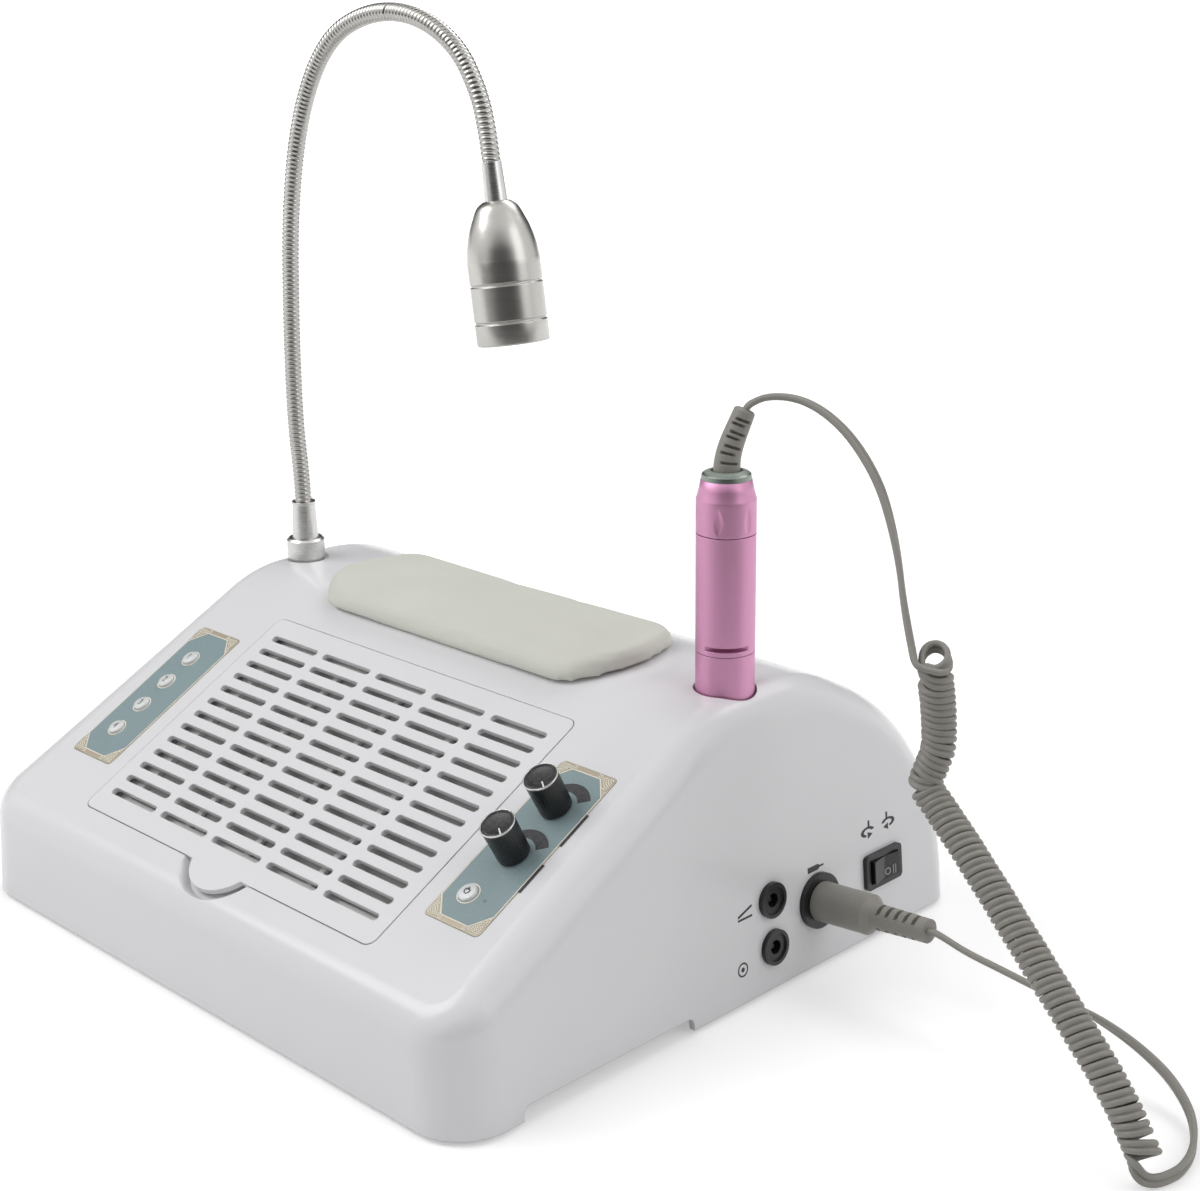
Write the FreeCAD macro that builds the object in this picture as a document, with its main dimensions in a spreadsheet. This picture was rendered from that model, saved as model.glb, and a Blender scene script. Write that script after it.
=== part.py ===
import FreeCAD, Part
import math
import os
import Sketcher
from FreeCAD import Placement, Rotation, Vector

# A table-top manicure machine: a wedge-shaped dust collector with a lift-up grille, a goose-neck
# lamp, a padded hand rest, a drill handpiece in its holder and a curly cord to a side socket.
# Frame: +X to the user's right, +Y away from the user, +Z up, origin on the table under the middle.

doc = FreeCAD.newDocument("manicure_machine")
sheet = doc.addObject("Spreadsheet::Sheet", "Dims")


class Size:
    """A length or an angle that remembers the sheet formula it was worked out with."""

    def __init__(self, value, text):
        self.value = value
        self.text = text

    def __add__(self, other):
        other = sized(other)
        return Size(self.value + other.value, f"({self.text} + {other.text})")

    def __sub__(self, other):
        other = sized(other)
        return Size(self.value - other.value, f"({self.text} - {other.text})")

    def __mul__(self, other):
        other = sized(other)
        return Size(self.value * other.value, f"({self.text} * {other.text})")

    def __truediv__(self, other):
        other = sized(other)
        return Size(self.value / other.value, f"({self.text} / {other.text})")

    def __radd__(self, other):
        return sized(other) + self

    def __rsub__(self, other):
        return sized(other) - self

    def __rmul__(self, other):
        return sized(other) * self

    def __rtruediv__(self, other):
        return sized(other) / self

    def __neg__(self):
        return Size(-self.value, f"(0 - {self.text})")


def sized(number):
    if isinstance(number, Size):
        return number
    return Size(float(number), f"({number})" if number < 0 else f"{number}")


def sin(angle):
    return Size(math.sin(math.radians(angle.value)), f"sin({angle.text})")


def cos(angle):
    return Size(math.cos(math.radians(angle.value)), f"cos({angle.text})")


def tan(angle):
    return Size(math.tan(math.radians(angle.value)), f"tan({angle.text})")


class Dims:
    """The driving dimensions by name, each one a cell of the sheet."""


d = Dims()
rows_used = 0


def dims(**sizes):
    """Write driving dimensions to the sheet, in millimetres or degrees."""
    global rows_used
    for name, value in sizes.items():
        rows_used += 1
        sheet.set(f"A{rows_used}", name)
        sheet.set(f"B{rows_used}", str(value))
        sheet.setAlias(f"B{rows_used}", name)
        setattr(d, name, Size(float(value), f"Dims.{name}"))


# Housing: a wedge with drafted walls, a slope for the grille, a level crown and a falling back
dims(housing_width=320, housing_depth=282, housing_wall=2.6, skirt_gap=2,
     side_draft=5, front_draft=1.4, back_draft=0.5, back_reach=5.4, front_height=44.6, slope_angle=28.18,
     crown_height=121.5, crown_end=65, back_slope_angle=28.3,
     corner_round=22, edge_round=14, crease_round=60, crown_round=74.7, back_round=104.7,
     notch_front=-110, notch_back=-21, notch_height=5.4, notch_round=3)

# Clearances that every fit below uses by name
dims(snug=0.15, running=0.05, moving_gap=0.4, soft_gap=0.3)

# Grille lid on the slope, with its finger tab and the scoop in front of it
dims(lid_from_front=78.1, lid_width=190, lid_length=121, lid_round=4, lid_thickness=2.4, lid_proud=0.2,
     ledge_width=4, ledge_thickness=2.4, ledge_margin=3, column_pitch=36.08, row_pitch=8.196,
     slot_length=31.4, slot_width=3.4, tab_radius=18, tab_reach=10, scoop_radius=22.6, scoop_depth=4.6,
     scoop_draft=3, scoop_wall=2.2, hook_centre=56, hook_width=12, hook_reach=2.5, hook_thickness=1.4,
     hook_root=6.5)

# Dust path under the grille
dims(filter_thickness=8, filter_rim=7, filter_drop=5.2, media_thickness=5, filter_rib=3,
     tray_wall=2, tray_flange=5, fan_size=120, fan_depth=25, fan_bore=57.5, fan_corner=7,
     fan_screw_pitch=105, fan_screw_radius=2, hub_radius=19, hub_height=19, hub_wall=1.6, blade_tip_gap=1.5,
     blade_thickness=1.8, blade_width=20, blade_angle=38, stator_radius=16.4, stator_height=11,
     fan_shaft_radius=1.5, fan_base_thickness=3, strut_width=6, guard_wire=0.8, guard_pitch=11)

# Control panels beside the grille
dims(panel_centre=118.5, panel_width=29, panel_length=81.6, panel_offset=1.3, panel_thickness=0.8,
     panel_sunk=0.6, panel_round=2, key_radius=3.7, key_proud=1.4, key_pitch=15.33, key_column=120.5,
     key_middle=0.9, key_flange=4.7, key_flange_thickness=1.0, key_travel=0.8, start_x=114.7, start_s=-25.2,
     start_radius=4, knob_column=118.7, knob_rear=21.4, knob_front=-3.3, knob_radius=6.75, knob_height=16.6,
     knob_lift=0.8, knob_wall=1, knob_cavity=6, knob_grip=12, bushing_radius=3.5, bushing_top=5,
     pot_shaft_radius=3, pot_body_radius=8, pot_nut_radius=5.2, pot_nut_thickness=2, board_drop=9.2,
     board_thickness=1.6, board_width=30, board_length=104, switch_height=3.4, switch_size=6,
     key_stem_radius=2, board_post_radius=2.6, board_post_reach=46)

# Holder, hand rest and lamp foot on the crown
dims(tool_x=131.3, lamp_x=-134, crown_row=27.4, holder_gap=0.9, holder_boss_wall=4.3, holder_boss_depth=21.5,
     cup_gap=1.0, cup_wall=1.8, cup_depth=44, cup_floor=2, cup_seat_bore=8.4,
     pad_half_width=90.5, pad_front=-8.2, pad_back=54.5, pad_round=25, pad_thickness=9.3,
     pad_base_inset=5, pad_base_thickness=2)

# Drill handpiece, heights above the table
dims(tool_radius=11.6, tool_wall=1.4, tool_rim_radius=9.4, tool_top=207.8, tool_shoulder=198,
     cap_bottom=184.2, sleeve_top=137.1, tool_seam=0.3, sleeve_bottom=92, nose_bottom=66, nose_radius=6.4,
     nose_tube_radius=7.8, nose_top=140, nose_bore=4, vent_height=1.8, vent_rise=1.9, vent_depth=1.4,
     vent_reach=8, spindle_radius=3, spindle_bottom=60, spindle_top=138.5, collet_radius=1.19,
     collet_depth=22, tool_bearing_radius=5, tool_bearing_height=5, micro_motor_bottom=143,
     micro_motor_height=34, motor_shaft_radius=1, end_ring_height=2.4, end_ring_bore=6.6,
     grommet_bore=4.6, grommet_height=3)

# Lamp
dims(lamp_recess_radius=10.3, lamp_recess_depth=1.5, lamp_boss_radius=13, lamp_boss_depth=15,
     lamp_collar_radius=8.8, lamp_collar_top_radius=7.8, lamp_collar_top=131.5, lamp_stem_radius=5,
     lamp_nut_width=7.5, lamp_nut_thickness=5, lamp_washer_radius=8.5, lamp_washer_thickness=1,
     neck_sleeve_radius=6.1, neck_sleeve_top_radius=5.2, neck_sleeve_top=149,
     neck_radius=3.9, neck_bore=2.6, upper_sleeve_radius=4.1, upper_sleeve_end_radius=4.7,
     head_joint_x=4, head_joint_z=314.9, head_tilt=8.5, upper_sleeve_length=15.6, head_radius=15,
     head_length=57.5, head_top_radius=5.5, head_shoulder_radius=12.4, head_shoulder=11.5, head_cone=24,
     head_wall=1.8, head_groove=0.5, groove_width=1.2, upper_groove=33, lower_groove=48.2,
     lens_thickness=2.5, lens_inset=3, bezel_ring=1.6, led_board_thickness=1.6, led_radius=1.6,
     heat_sink_height=16, heat_sink_core=6, heat_sink_fin=1.4)

# Right wall: two inlets, the motor socket and the reversing switch, and the motor plug
dims(jack_row=26.8, pedal_jack_z=39.2, power_jack_z=19.4, jack_flange_radius=7.3, jack_flange_thickness=2,
     jack_body_radius=5.6, jack_depth=13, jack_bore=2.9, jack_pin_radius=1.05, jack_nut_radius=8,
     jack_nut_thickness=2.5, socket_y=55.2, socket_z=29.5, socket_flange_radius=11.5, socket_flange_thickness=2.2,
     socket_body_radius=8.6, socket_depth=14, socket_bore=6.7, socket_nut_radius=11, plug_radius=8.15, plug_length=30,
     plug_nose_radius=6.4, plug_nose_length=8, plug_pin_radius=0.7, plug_pin_circle=3.3, plug_pin_length=6,
     plug_relief_radius=5.3, plug_relief_end=4.8, plug_relief_length=25,
     rocker_y=96.8, rocker_z=30.3, bezel_height=15, bezel_length=23.5, bezel_thickness=2, switch_body_height=12.6,
     switch_body_length=19.4, switch_body_depth=15, rocker_height=9.6, rocker_length=16.4, rocker_depth=4.2,
     rocker_end_gap=0.9, rocker_pocket_depth=8, rocker_pin_radius=1)

# Base plate, feet, screws and the main board
dims(base_gap=0.4, base_bottom=7.6, base_thickness=3, foot_radius=7, foot_x=140, foot_y_front=-122, foot_y_back=118,
     screw_radius=1.5, screw_head_radius=3, screw_head_height=2, post_radius=4, post_x_front=144, post_x_back=128,
     post_y_front=-96, post_y_back=92, base_corner=19, vent_slot_length=20, vent_slot_width=3,
     vent_slot_pitch=7, vent_column_pitch=26, vent_centre=-52, main_board_x=60, main_board_width=100,
     main_board_depth=60, main_board_y=62, standoff_height=8, standoff_radius=3)

# Cord
dims(lead_radius=1.7, curl_radius=6.4, strain_relief_radius=5.3, strain_relief_end=4.1, strain_relief_length=27,
     strain_relief_foot=205.5, strain_relief_lean=16)
doc.recompute()

nodes = []


def node(thing, label):
    """Mark a finished sub-part: its label names its file."""
    thing.Label = label
    nodes.append(thing)
    return thing


def bind(thing, prop, size):
    thing.setExpression(prop, sized(size).text)


def move(thing, x=0, y=0, z=0):
    """Place a thing level, at a point of the part's frame."""
    for axis, size in zip("xyz", (x, y, z)):
        bind(thing, f"Placement.Base.{axis}", size)
    return thing


def turn(thing, axis, angle):
    """Turn a thing about an axis through its own origin."""
    thing.Placement = Placement(thing.Placement.Base, Rotation(Vector(*axis), sized(angle).value))
    bind(thing, "Placement.Rotation.Angle", angle)
    return thing


half_depth = d.housing_depth / 2
back_y = half_depth + d.back_reach
front_top_y = -half_depth + (d.front_height - d.skirt_gap) * tan(d.front_draft)
lid_y = front_top_y + d.lid_from_front * cos(d.slope_angle)
lid_z = d.front_height + d.lid_from_front * sin(d.slope_angle)


def on_slope(thing, x=0, s=0, w=0):
    """Place a thing on the slope: x across, s up the slope from the lid's middle, w out of it."""
    s, w = sized(s), sized(w)
    move(thing, x, lid_y + s * cos(d.slope_angle) - w * sin(d.slope_angle),
         lid_z + s * sin(d.slope_angle) + w * cos(d.slope_angle))
    return turn(thing, (1, 0, 0), d.slope_angle)


def wall_x(z):
    """Half width of the housing at a height."""
    return d.housing_width / 2 - (sized(z) - d.skirt_gap) * tan(d.side_draft)


def body_named(name):
    return doc.addObject("PartDesign::Body", name)


def plane_of(body, role):
    return next(f for f in body.Origin.OriginFeatures if f.Role == role)


def polygon(body, name, role, points, lift=0):
    """A closed sketch of straight edges, each corner held by its own two constraints."""
    sketch = body.newObject("Sketcher::SketchObject", name)
    sketch.AttachmentSupport = (plane_of(body, role), [""])
    sketch.MapMode = "FlatFace"
    bind(sketch, "AttachmentOffset.Base.z", lift)
    points = [(sized(a), sized(b)) for a, b in points]
    spots = [Vector(a.value, b.value, 0) for a, b in points]
    count = len(spots)
    sketch.addGeometry([Part.LineSegment(spots[i], spots[(i + 1) % count]) for i in range(count)], False)
    sketch.addConstraint([Sketcher.Constraint("Coincident", i, 2, (i + 1) % count, 1) for i in range(count)])
    for i, point in enumerate(points):
        for kind, size in zip(("DistanceX", "DistanceY"), point):
            k = sketch.addConstraint(Sketcher.Constraint(kind, -1, 1, i, 1, size.value))
            bind(sketch, f"Constraints[{k}]", size)
    return sketch


def round_edges(body, name, test, radius):
    """Round the edges of the body so far that pass a test."""
    doc.recompute()
    base = body.Tip
    names = [f"Edge{i + 1}" for i, edge in enumerate(base.Shape.Edges) if test(edge)]
    if not names:
        raise RuntimeError(name + ": no edge to round")
    feature = body.newObject("PartDesign::Fillet", name)
    feature.Base = (base, names)
    bind(feature, "Radius", radius)
    doc.recompute()
    return feature


def ends(edge):
    return edge.Vertexes[0].Point, edge.Vertexes[-1].Point


def upright(edge):
    a, b = ends(edge)
    return abs(a.x - b.x) < 1e-6 and abs(a.y - b.y) < 1e-6 and abs(a.z - b.z) > 1e-3


def prism(name, points, low, high, role="XY_Plane", rounding=None):
    """A pad from an outline, between two heights above its plane."""
    body = body_named(name)
    sketch = polygon(body, name + "_outline", role, points, low)
    pad = body.newObject("PartDesign::Pad", name + "_pad")
    pad.Profile = sketch
    bind(pad, "Length", sized(high) - low)
    if rounding is not None:
        round_edges(body, name + "_corners", upright, rounding)
    return body


def slab(name, x0, x1, y0, y1, low, high, rounding=None):
    return prism(name, [(x0, y0), (x1, y0), (x1, y1), (x0, y1)], low, high, rounding=rounding)


def turned(name, profile):
    """A turned piece about its own Z axis, from (radius, height) corners."""
    body = body_named(name)
    sketch = polygon(body, name + "_profile", "XZ_Plane", profile)
    lathe = body.newObject("PartDesign::Revolution", name + "_turning")
    lathe.Profile = sketch
    lathe.ReferenceAxis = (sketch, ["V_Axis"])
    lathe.Angle = 360
    return body


def rod(name, radius, low, high, x=0, y=0):
    thing = doc.addObject("Part::Cylinder", name)
    bind(thing, "Radius", radius)
    bind(thing, "Height", sized(high) - low)
    return move(thing, x, y, low)


def block(name, x0, x1, y0, y1, z0, z1):
    thing = doc.addObject("Part::Box", name)
    bind(thing, "Length", sized(x1) - x0)
    bind(thing, "Width", sized(y1) - y0)
    bind(thing, "Height", sized(z1) - z0)
    return move(thing, x0, y0, z0)


def fuse(name, *pieces):
    thing = doc.addObject("Part::MultiFuse", name)
    thing.Shapes = list(pieces)
    return thing


def common(name, *pieces):
    thing = doc.addObject("Part::MultiCommon", name)
    thing.Shapes = list(pieces)
    return thing


def cut(name, base, *tools):
    thing = doc.addObject("Part::Cut", name)
    thing.Base = base
    thing.Tool = tools[0] if len(tools) == 1 else fuse(name + "_cutters", *tools)
    return thing


def group(name, *pieces):
    """Separate solids that share one node."""
    thing = doc.addObject("Part::Compound", name)
    thing.Links = list(pieces)
    return thing


def along_x_at(y, z):
    def test(edge):
        a, b = ends(edge)
        return (abs(a.y - b.y) < 1e-6 and abs(a.z - b.z) < 1e-6 and abs(a.x - b.x) > 1
                and abs(a.y - y.value) < 0.01 and abs(a.z - z.value) < 0.01)
    return test


def housing_form(name, inset, floor):
    """The housing's outer form, every face moved in by inset, from a floor height up."""
    inset, floor = sized(inset), sized(floor)
    sky = d.crown_height + 30
    body = body_named(name)
    wedge = body.newObject("PartDesign::AdditiveWedge", name + "_block")
    bind(wedge, "Ymin", floor)
    bind(wedge, "Ymax", sky)
    for width, front, z in (("X", "Zmax", floor), ("X2", "Z2max", sky)):
        half_width = wall_x(z) - inset / cos(d.side_draft)
        bind(wedge, width + "min", -half_width)
        bind(wedge, width + "max", half_width)
        bind(wedge, front, half_depth - inset / cos(d.front_draft) - (z - d.skirt_gap) * tan(d.front_draft))
    bind(wedge, "Zmin", -d.housing_depth)
    bind(wedge, "Z2min", -d.housing_depth)
    wedge.Placement = Placement(Vector(0, 0, 0), Rotation(Vector(1, 0, 0), 90))

    slope, back, lean = tan(d.slope_angle), tan(d.back_slope_angle), tan(d.back_draft)
    slope_drop = inset / cos(d.slope_angle)
    back_drop = inset / cos(d.back_slope_angle)
    crown_z = d.crown_height - inset
    start_z = d.front_height - (d.housing_depth + front_top_y) * slope - slope_drop
    crease_y = front_top_y + (crown_z - d.front_height + slope_drop) / slope
    crown_y = d.crown_end + (inset - back_drop) / back
    wall_foot = back_y - inset / cos(d.back_draft) + lean * d.skirt_gap
    corner_z = (d.crown_end + (d.crown_height - back_drop) / back - wall_foot) / (1 / back - lean)
    corner_y = wall_foot - lean * corner_z
    under = floor - 10
    above = polygon(body, name + "_above", "YZ_Plane",
                    [(-d.housing_depth, start_z), (crease_y, crown_z), (crown_y, crown_z), (corner_y, corner_z),
                     (wall_foot - lean * under, under), (d.housing_depth * 1.5, under),
                     (d.housing_depth * 1.5, sky + 10), (-d.housing_depth, sky + 10)])
    pocket = body.newObject("PartDesign::Pocket", name + "_sides")
    pocket.Profile = above
    pocket.Midplane = True
    bind(pocket, "Length", d.housing_width * 2)

    def front_corner(edge):
        a, b = ends(edge)
        return abs(a.z - b.z) > 5 and max(a.y, b.y) < front_top_y.value + 10

    def front_top(edge):
        a, b = ends(edge)
        return (abs(a.z - b.z) < 1e-6 and abs(a.x - b.x) > 50 and a.y < front_top_y.value + 10
                and abs(a.z - d.front_height.value) < 10)

    round_edges(body, name + "_front_corners", front_corner, d.corner_round - inset)
    round_edges(body, name + "_crease", along_x_at(crease_y, crown_z), d.crease_round - inset)
    round_edges(body, name + "_crown", along_x_at(crown_y, crown_z), d.crown_round - inset)
    round_edges(body, name + "_back", along_x_at(corner_y, corner_z), d.back_round - inset)
    round_edges(body, name + "_edge", front_top, d.edge_round - inset)
    return body


# Plain counts
SLOT_COLUMNS = 5
SLOT_ROWS = 13
VENT_COLUMNS = 4
VENT_ROWS = 12
FAN_BLADES = 7
GUARD_RINGS = 4
LED_COUNT = 6
SINK_FINS = 4
PLUG_PINS = 5
PLUG_SLOTS = 5
RELIEF_RINGS = 7
LEFT, RIGHT = -1, 1


def slope_rod(name, radius, low, high, x=0, s=0):
    """A round bar standing on the slope, between two heights out of it."""
    return on_slope(rod(name, radius, low, high), x, s, low)


def on_side(thing, y, z, out=0):
    """Place a thing on the right wall, its own +Z square out of the drafted wall."""
    move(thing, wall_x(z) + out * cos(d.side_draft), y, z + out * sin(d.side_draft))
    return turn(thing, (0, 1, 0), 90 - d.side_draft)


def hexagon(name, radius, low, high, x=0, y=0):
    thing = doc.addObject("Part::Prism", name)
    thing.Polygon = 6
    bind(thing, "Circumradius", radius)
    bind(thing, "Height", sized(high) - low)
    return move(thing, x, y, low)


def ring(name, outer, inner, low, high):
    return turned(name, [(inner, low), (outer, low), (outer, high), (inner, high)])


def slotted(body, name, x, y, length, width, lift, depth, runs):
    """Cut a round-ended slot down from a height and repeat it along X and Y."""
    sketch = body.newObject("Sketcher::SketchObject", name + "_outline")
    sketch.AttachmentSupport = (plane_of(body, "XY_Plane"), [""])
    sketch.MapMode = "FlatFace"
    bind(sketch, "AttachmentOffset.Base.z", lift)
    radius = width / 2
    reach = length / 2 - radius
    centres = (x + reach, x - reach)
    right, left = (Vector(centre.value, y.value, 0) for centre in centres)
    low, high = Vector(0, -radius.value, 0), Vector(0, radius.value, 0)
    up, half = Vector(0, 0, 1), math.pi / 2
    sketch.addGeometry([
        Part.LineSegment(left + low, right + low),
        Part.ArcOfCircle(Part.Circle(right, up, radius.value), -half, half),
        Part.LineSegment(right + high, left + high),
        Part.ArcOfCircle(Part.Circle(left, up, radius.value), half, 3 * half)], False)
    sketch.addConstraint([Sketcher.Constraint("Tangent", i, 2, (i + 1) % 4, 1) for i in range(4)])
    sketch.addConstraint(Sketcher.Constraint("Equal", 1, 3))
    for arc, centre in zip((1, 3), centres):
        for kind, size in zip(("DistanceX", "DistanceY"), (centre, y)):
            k = sketch.addConstraint(Sketcher.Constraint(kind, -1, 1, arc, 3, size.value))
            bind(sketch, f"Constraints[{k}]", size)
    k = sketch.addConstraint(Sketcher.Constraint("Radius", 1, radius.value))
    bind(sketch, f"Constraints[{k}]", radius)
    pocket = body.newObject("PartDesign::Pocket", name)
    pocket.Profile = sketch
    bind(pocket, "Length", depth)
    grid = body.newObject("PartDesign::MultiTransform", name + "_grid")
    grid.Originals = [pocket]
    steps = []
    for role, pitch, count in runs:
        step = body.newObject("PartDesign::LinearPattern", name + "_" + role[0].lower())
        step.Direction = (plane_of(body, role), [""])
        bind(step, "Length", pitch * (count - 1))
        step.Occurrences = count
        steps.append(step)
    grid.Transformations = steps
    body.Tip = grid
    return body


def spun(name, thing, axis, angle):
    """A copy of a thing turned about the origin."""
    return turn(group(name, thing), axis, angle)


outer_form = housing_form("outer_form", 0, d.skirt_gap)
inner_form = housing_form("inner_form", d.housing_wall, d.skirt_gap - 4)
sky = d.crown_height + 20
wall_under = -d.housing_wall

# Levels of the grille lid and of all that hangs under it, measured out of the slope
lid_under = d.lid_proud - d.lid_thickness
seat_floor = lid_under - d.snug
ledge_under = seat_floor - d.ledge_thickness
seat_x = d.lid_width / 2 + d.moving_gap
seat_s = d.lid_length / 2 + d.moving_gap
opening_x = d.lid_width / 2 - d.ledge_width
opening_s = d.lid_length / 2 - d.ledge_width
frame_x = seat_x + d.ledge_margin
frame_s = seat_s + d.ledge_margin
tab_s = d.tab_radius - d.lid_length / 2 - d.tab_reach
filter_top = -d.filter_drop
filter_floor = filter_top - d.filter_thickness
fan_top = filter_floor - d.tray_wall
fan_floor = fan_top - d.fan_depth
board_top = -d.board_drop
panel_top = d.panel_thickness - d.panel_sunk
base_top = d.base_bottom + d.base_thickness
holder_hole = d.tool_radius + d.holder_gap
boss_floor = d.crown_height - d.holder_boss_depth
lamp_boss_floor = d.crown_height - d.lamp_boss_depth
lamp_seat = d.crown_height - d.lamp_recess_depth
posts = [(side * x, y) for side in (LEFT, RIGHT)
         for x, y in ((d.post_x_front, d.post_y_front), (d.post_x_back, d.post_y_back))]
keys = [(-d.key_column, d.key_middle + d.key_pitch * (1.5 - i)) for i in range(4)]
start_place = (d.start_x, d.start_s)
knobs = [("speed", d.knob_rear), ("light", d.knob_front)]

# Housing: the outer form, less a cavity that leaves the bosses, less everything that is let into it
kept = [
    on_slope(slab("ledge_frame", -frame_x, frame_x, -frame_s, frame_s, ledge_under, -1)),
    on_slope(common(
        "scoop_boss",
        rod("scoop_boss_disc", d.scoop_radius + d.scoop_wall, -d.scoop_depth - d.scoop_wall, -1, 0, tab_s),
        block("scoop_boss_side", -d.lid_width / 2, d.lid_width / 2, -d.lid_length, -opening_s,
              -d.scoop_depth - d.scoop_wall, 0))),
    rod("holder_boss", holder_hole + d.holder_boss_wall, boss_floor, sky, d.tool_x, d.crown_row),
    rod("lamp_boss", d.lamp_boss_radius, lamp_boss_floor, sky, d.lamp_x, d.crown_row)]
for i, (x, y) in enumerate(posts):
    kept.append(rod(f"post_{i}", d.post_radius, base_top, sky, x, y))
for i, (side, along, end) in enumerate((a, b, c) for a in (LEFT, RIGHT) for b in (-1, 1) for c in (-1, 1)):
    kept.append(slope_rod(f"board_post_{i}", d.board_post_radius, board_top, -1,
                          side * d.panel_centre + along * (d.board_width / 2 - d.board_post_radius),
                          end * d.board_post_reach))
cavity = cut("cavity", inner_form, *kept)

half_panel_x, half_panel_s = d.panel_width / 2, d.panel_length / 2
taken = [
    on_slope(slab("lid_seat", -seat_x, seat_x, -seat_s, seat_s, seat_floor, 10, d.lid_round + d.moving_gap)),
    on_slope(slab("lid_opening", -opening_x, opening_x, -opening_s, opening_s, -20, 10, d.lid_round)),
    on_slope(turned("scoop", [(0, -d.scoop_depth), (d.scoop_radius - d.scoop_draft, -d.scoop_depth),
                              (d.scoop_radius, 0), (d.scoop_radius, 10), (0, 10)]), 0, tab_s),
    rod("holder_hole", holder_hole, boss_floor - 5, sky, d.tool_x, d.crown_row),
    rod("lamp_recess", d.lamp_recess_radius, lamp_seat, sky, d.lamp_x, d.crown_row),
    rod("lamp_hole", d.lamp_stem_radius + d.snug, lamp_boss_floor - 5, sky, d.lamp_x, d.crown_row),
    on_side(rod("pedal_jack_hole", d.jack_body_radius + d.snug, 0, 10), d.jack_row, d.pedal_jack_z, -5),
    on_side(rod("power_jack_hole", d.jack_body_radius + d.snug, 0, 10), d.jack_row, d.power_jack_z, -5),
    on_side(rod("socket_hole", d.socket_body_radius + d.snug, 0, 10), d.socket_y, d.socket_z, -5)]
hook_low = ledge_under + 0.4
for side, name in ((LEFT, "left"), (RIGHT, "right")):
    notch_x0 = side * d.hook_centre - d.hook_width / 2 - 1
    notch_x1 = notch_x0 + d.hook_width + 2
    for part, rear, top in (("under", frame_s + 3, wall_under), ("ledge", seat_s, 0)):
        taken.append(on_slope(slab(f"{name}_hook_notch_{part}", notch_x0, notch_x1, opening_s - d.hook_root, rear,
                                   -12, top)))
    taken.append(on_slope(
        slab(name + "_panel_recess", -half_panel_x - d.snug, half_panel_x + d.snug, -half_panel_s - d.snug,
             half_panel_s + d.snug, -d.panel_sunk, 5, d.panel_round + d.snug),
        side * d.panel_centre, d.panel_offset))
key_gap = d.moving_gap / 2
for i, (x, s) in enumerate(keys):
    taken.append(slope_rod(f"key_hole_{i + 1}", d.key_radius + key_gap, -5, 5, x, s))
taken.append(slope_rod("start_hole", d.start_radius + key_gap, -5, 5, *start_place))
for name, s in knobs:
    taken.append(slope_rod(name + "_bushing_hole", d.bushing_radius + d.snug, -5, 5, d.knob_column, s))
for i, (x, y) in enumerate(posts):
    taken.append(rod(f"post_hole_{i}", d.screw_radius, base_top - 1, base_top + 10, x, y))
switch_x, switch_y = d.switch_body_height / 2, d.switch_body_length / 2
taken.append(on_side(slab("rocker_cutout", -switch_x - d.snug, switch_x + d.snug, -switch_y - d.snug,
                          switch_y + d.snug, -6, 6), d.rocker_y, d.rocker_z))
notch = prism("skirt_notch", [(d.notch_front, -5), (d.notch_back, -5),
                              (d.notch_back, d.skirt_gap + d.notch_height),
                              (d.notch_front, d.skirt_gap + d.notch_height)],
              -d.housing_width, d.housing_width, role="YZ_Plane")
round_edges(notch, "notch_corners", lambda edge: abs(ends(edge)[0].x - ends(edge)[1].x) > 1
            and ends(edge)[0].z > 0, d.notch_round)
taken.append(notch)
housing_shell = cut("housing_shell", outer_form, cavity)
node(cut("housing", housing_shell, *taken), "upper_housing")

# Base plate with its vent grid and board posts, the feet and all plain screws
plate_x = wall_x(base_top) - (d.housing_wall + d.base_gap) / cos(d.side_draft)
plate_front = (d.housing_wall + d.base_gap) / cos(d.front_draft) - half_depth \
    + (base_top - d.skirt_gap) * tan(d.front_draft)
plate_back = back_y - (d.housing_wall + d.base_gap) / cos(d.back_draft) \
    - (base_top - d.skirt_gap) * tan(d.back_draft)
plate = slab("base_plate_body", -plate_x, plate_x, plate_front, plate_back, d.base_bottom, base_top, d.base_corner)
slotted(plate, "vents", -d.vent_column_pitch * (VENT_COLUMNS - 1) / 2,
        d.vent_centre - d.vent_slot_pitch * (VENT_ROWS - 1) / 2, d.vent_slot_length, d.vent_slot_width,
        base_top, d.base_thickness * 2,
        [("X_Axis", d.vent_column_pitch, VENT_COLUMNS), ("Y_Axis", d.vent_slot_pitch, VENT_ROWS)])
board_posts = [(d.main_board_x + a * (d.main_board_width / 2 - 5), d.main_board_y + b * (d.main_board_depth / 2 - 5))
               for a in (-1, 1) for b in (-1, 1)]
main_board_low = base_top + d.standoff_height
standoffs = [rod(f"standoff_{i}", d.standoff_radius, base_top - 1, main_board_low, x, y)
             for i, (x, y) in enumerate(board_posts)]
screw_holes = []
for i, (x, y) in enumerate(posts):
    screw_holes.append(rod(f"screw_hole_{i}", d.screw_radius + d.snug, 0, base_top + 1, x, y))
    screw_holes.append(rod(f"screw_sink_{i}", d.screw_head_radius + d.snug, 0, d.base_bottom + d.screw_head_height,
                           x, y))
node(cut("base", fuse("base_with_posts", plate, *standoffs), *screw_holes), "base_plate")

feet_places = [(side * d.foot_x, y) for side in (LEFT, RIGHT) for y in (d.foot_y_front, d.foot_y_back)]
foot_chamfer = 0.8
feet = [move(turned(f"foot_{i}", [(0, 0), (d.foot_radius - foot_chamfer, 0), (d.foot_radius, foot_chamfer),
                                  (d.foot_radius, d.base_bottom), (0, d.base_bottom)]), x, y)
        for i, (x, y) in enumerate(feet_places)]
node(group("feet", *feet), "rubber_feet")


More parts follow.
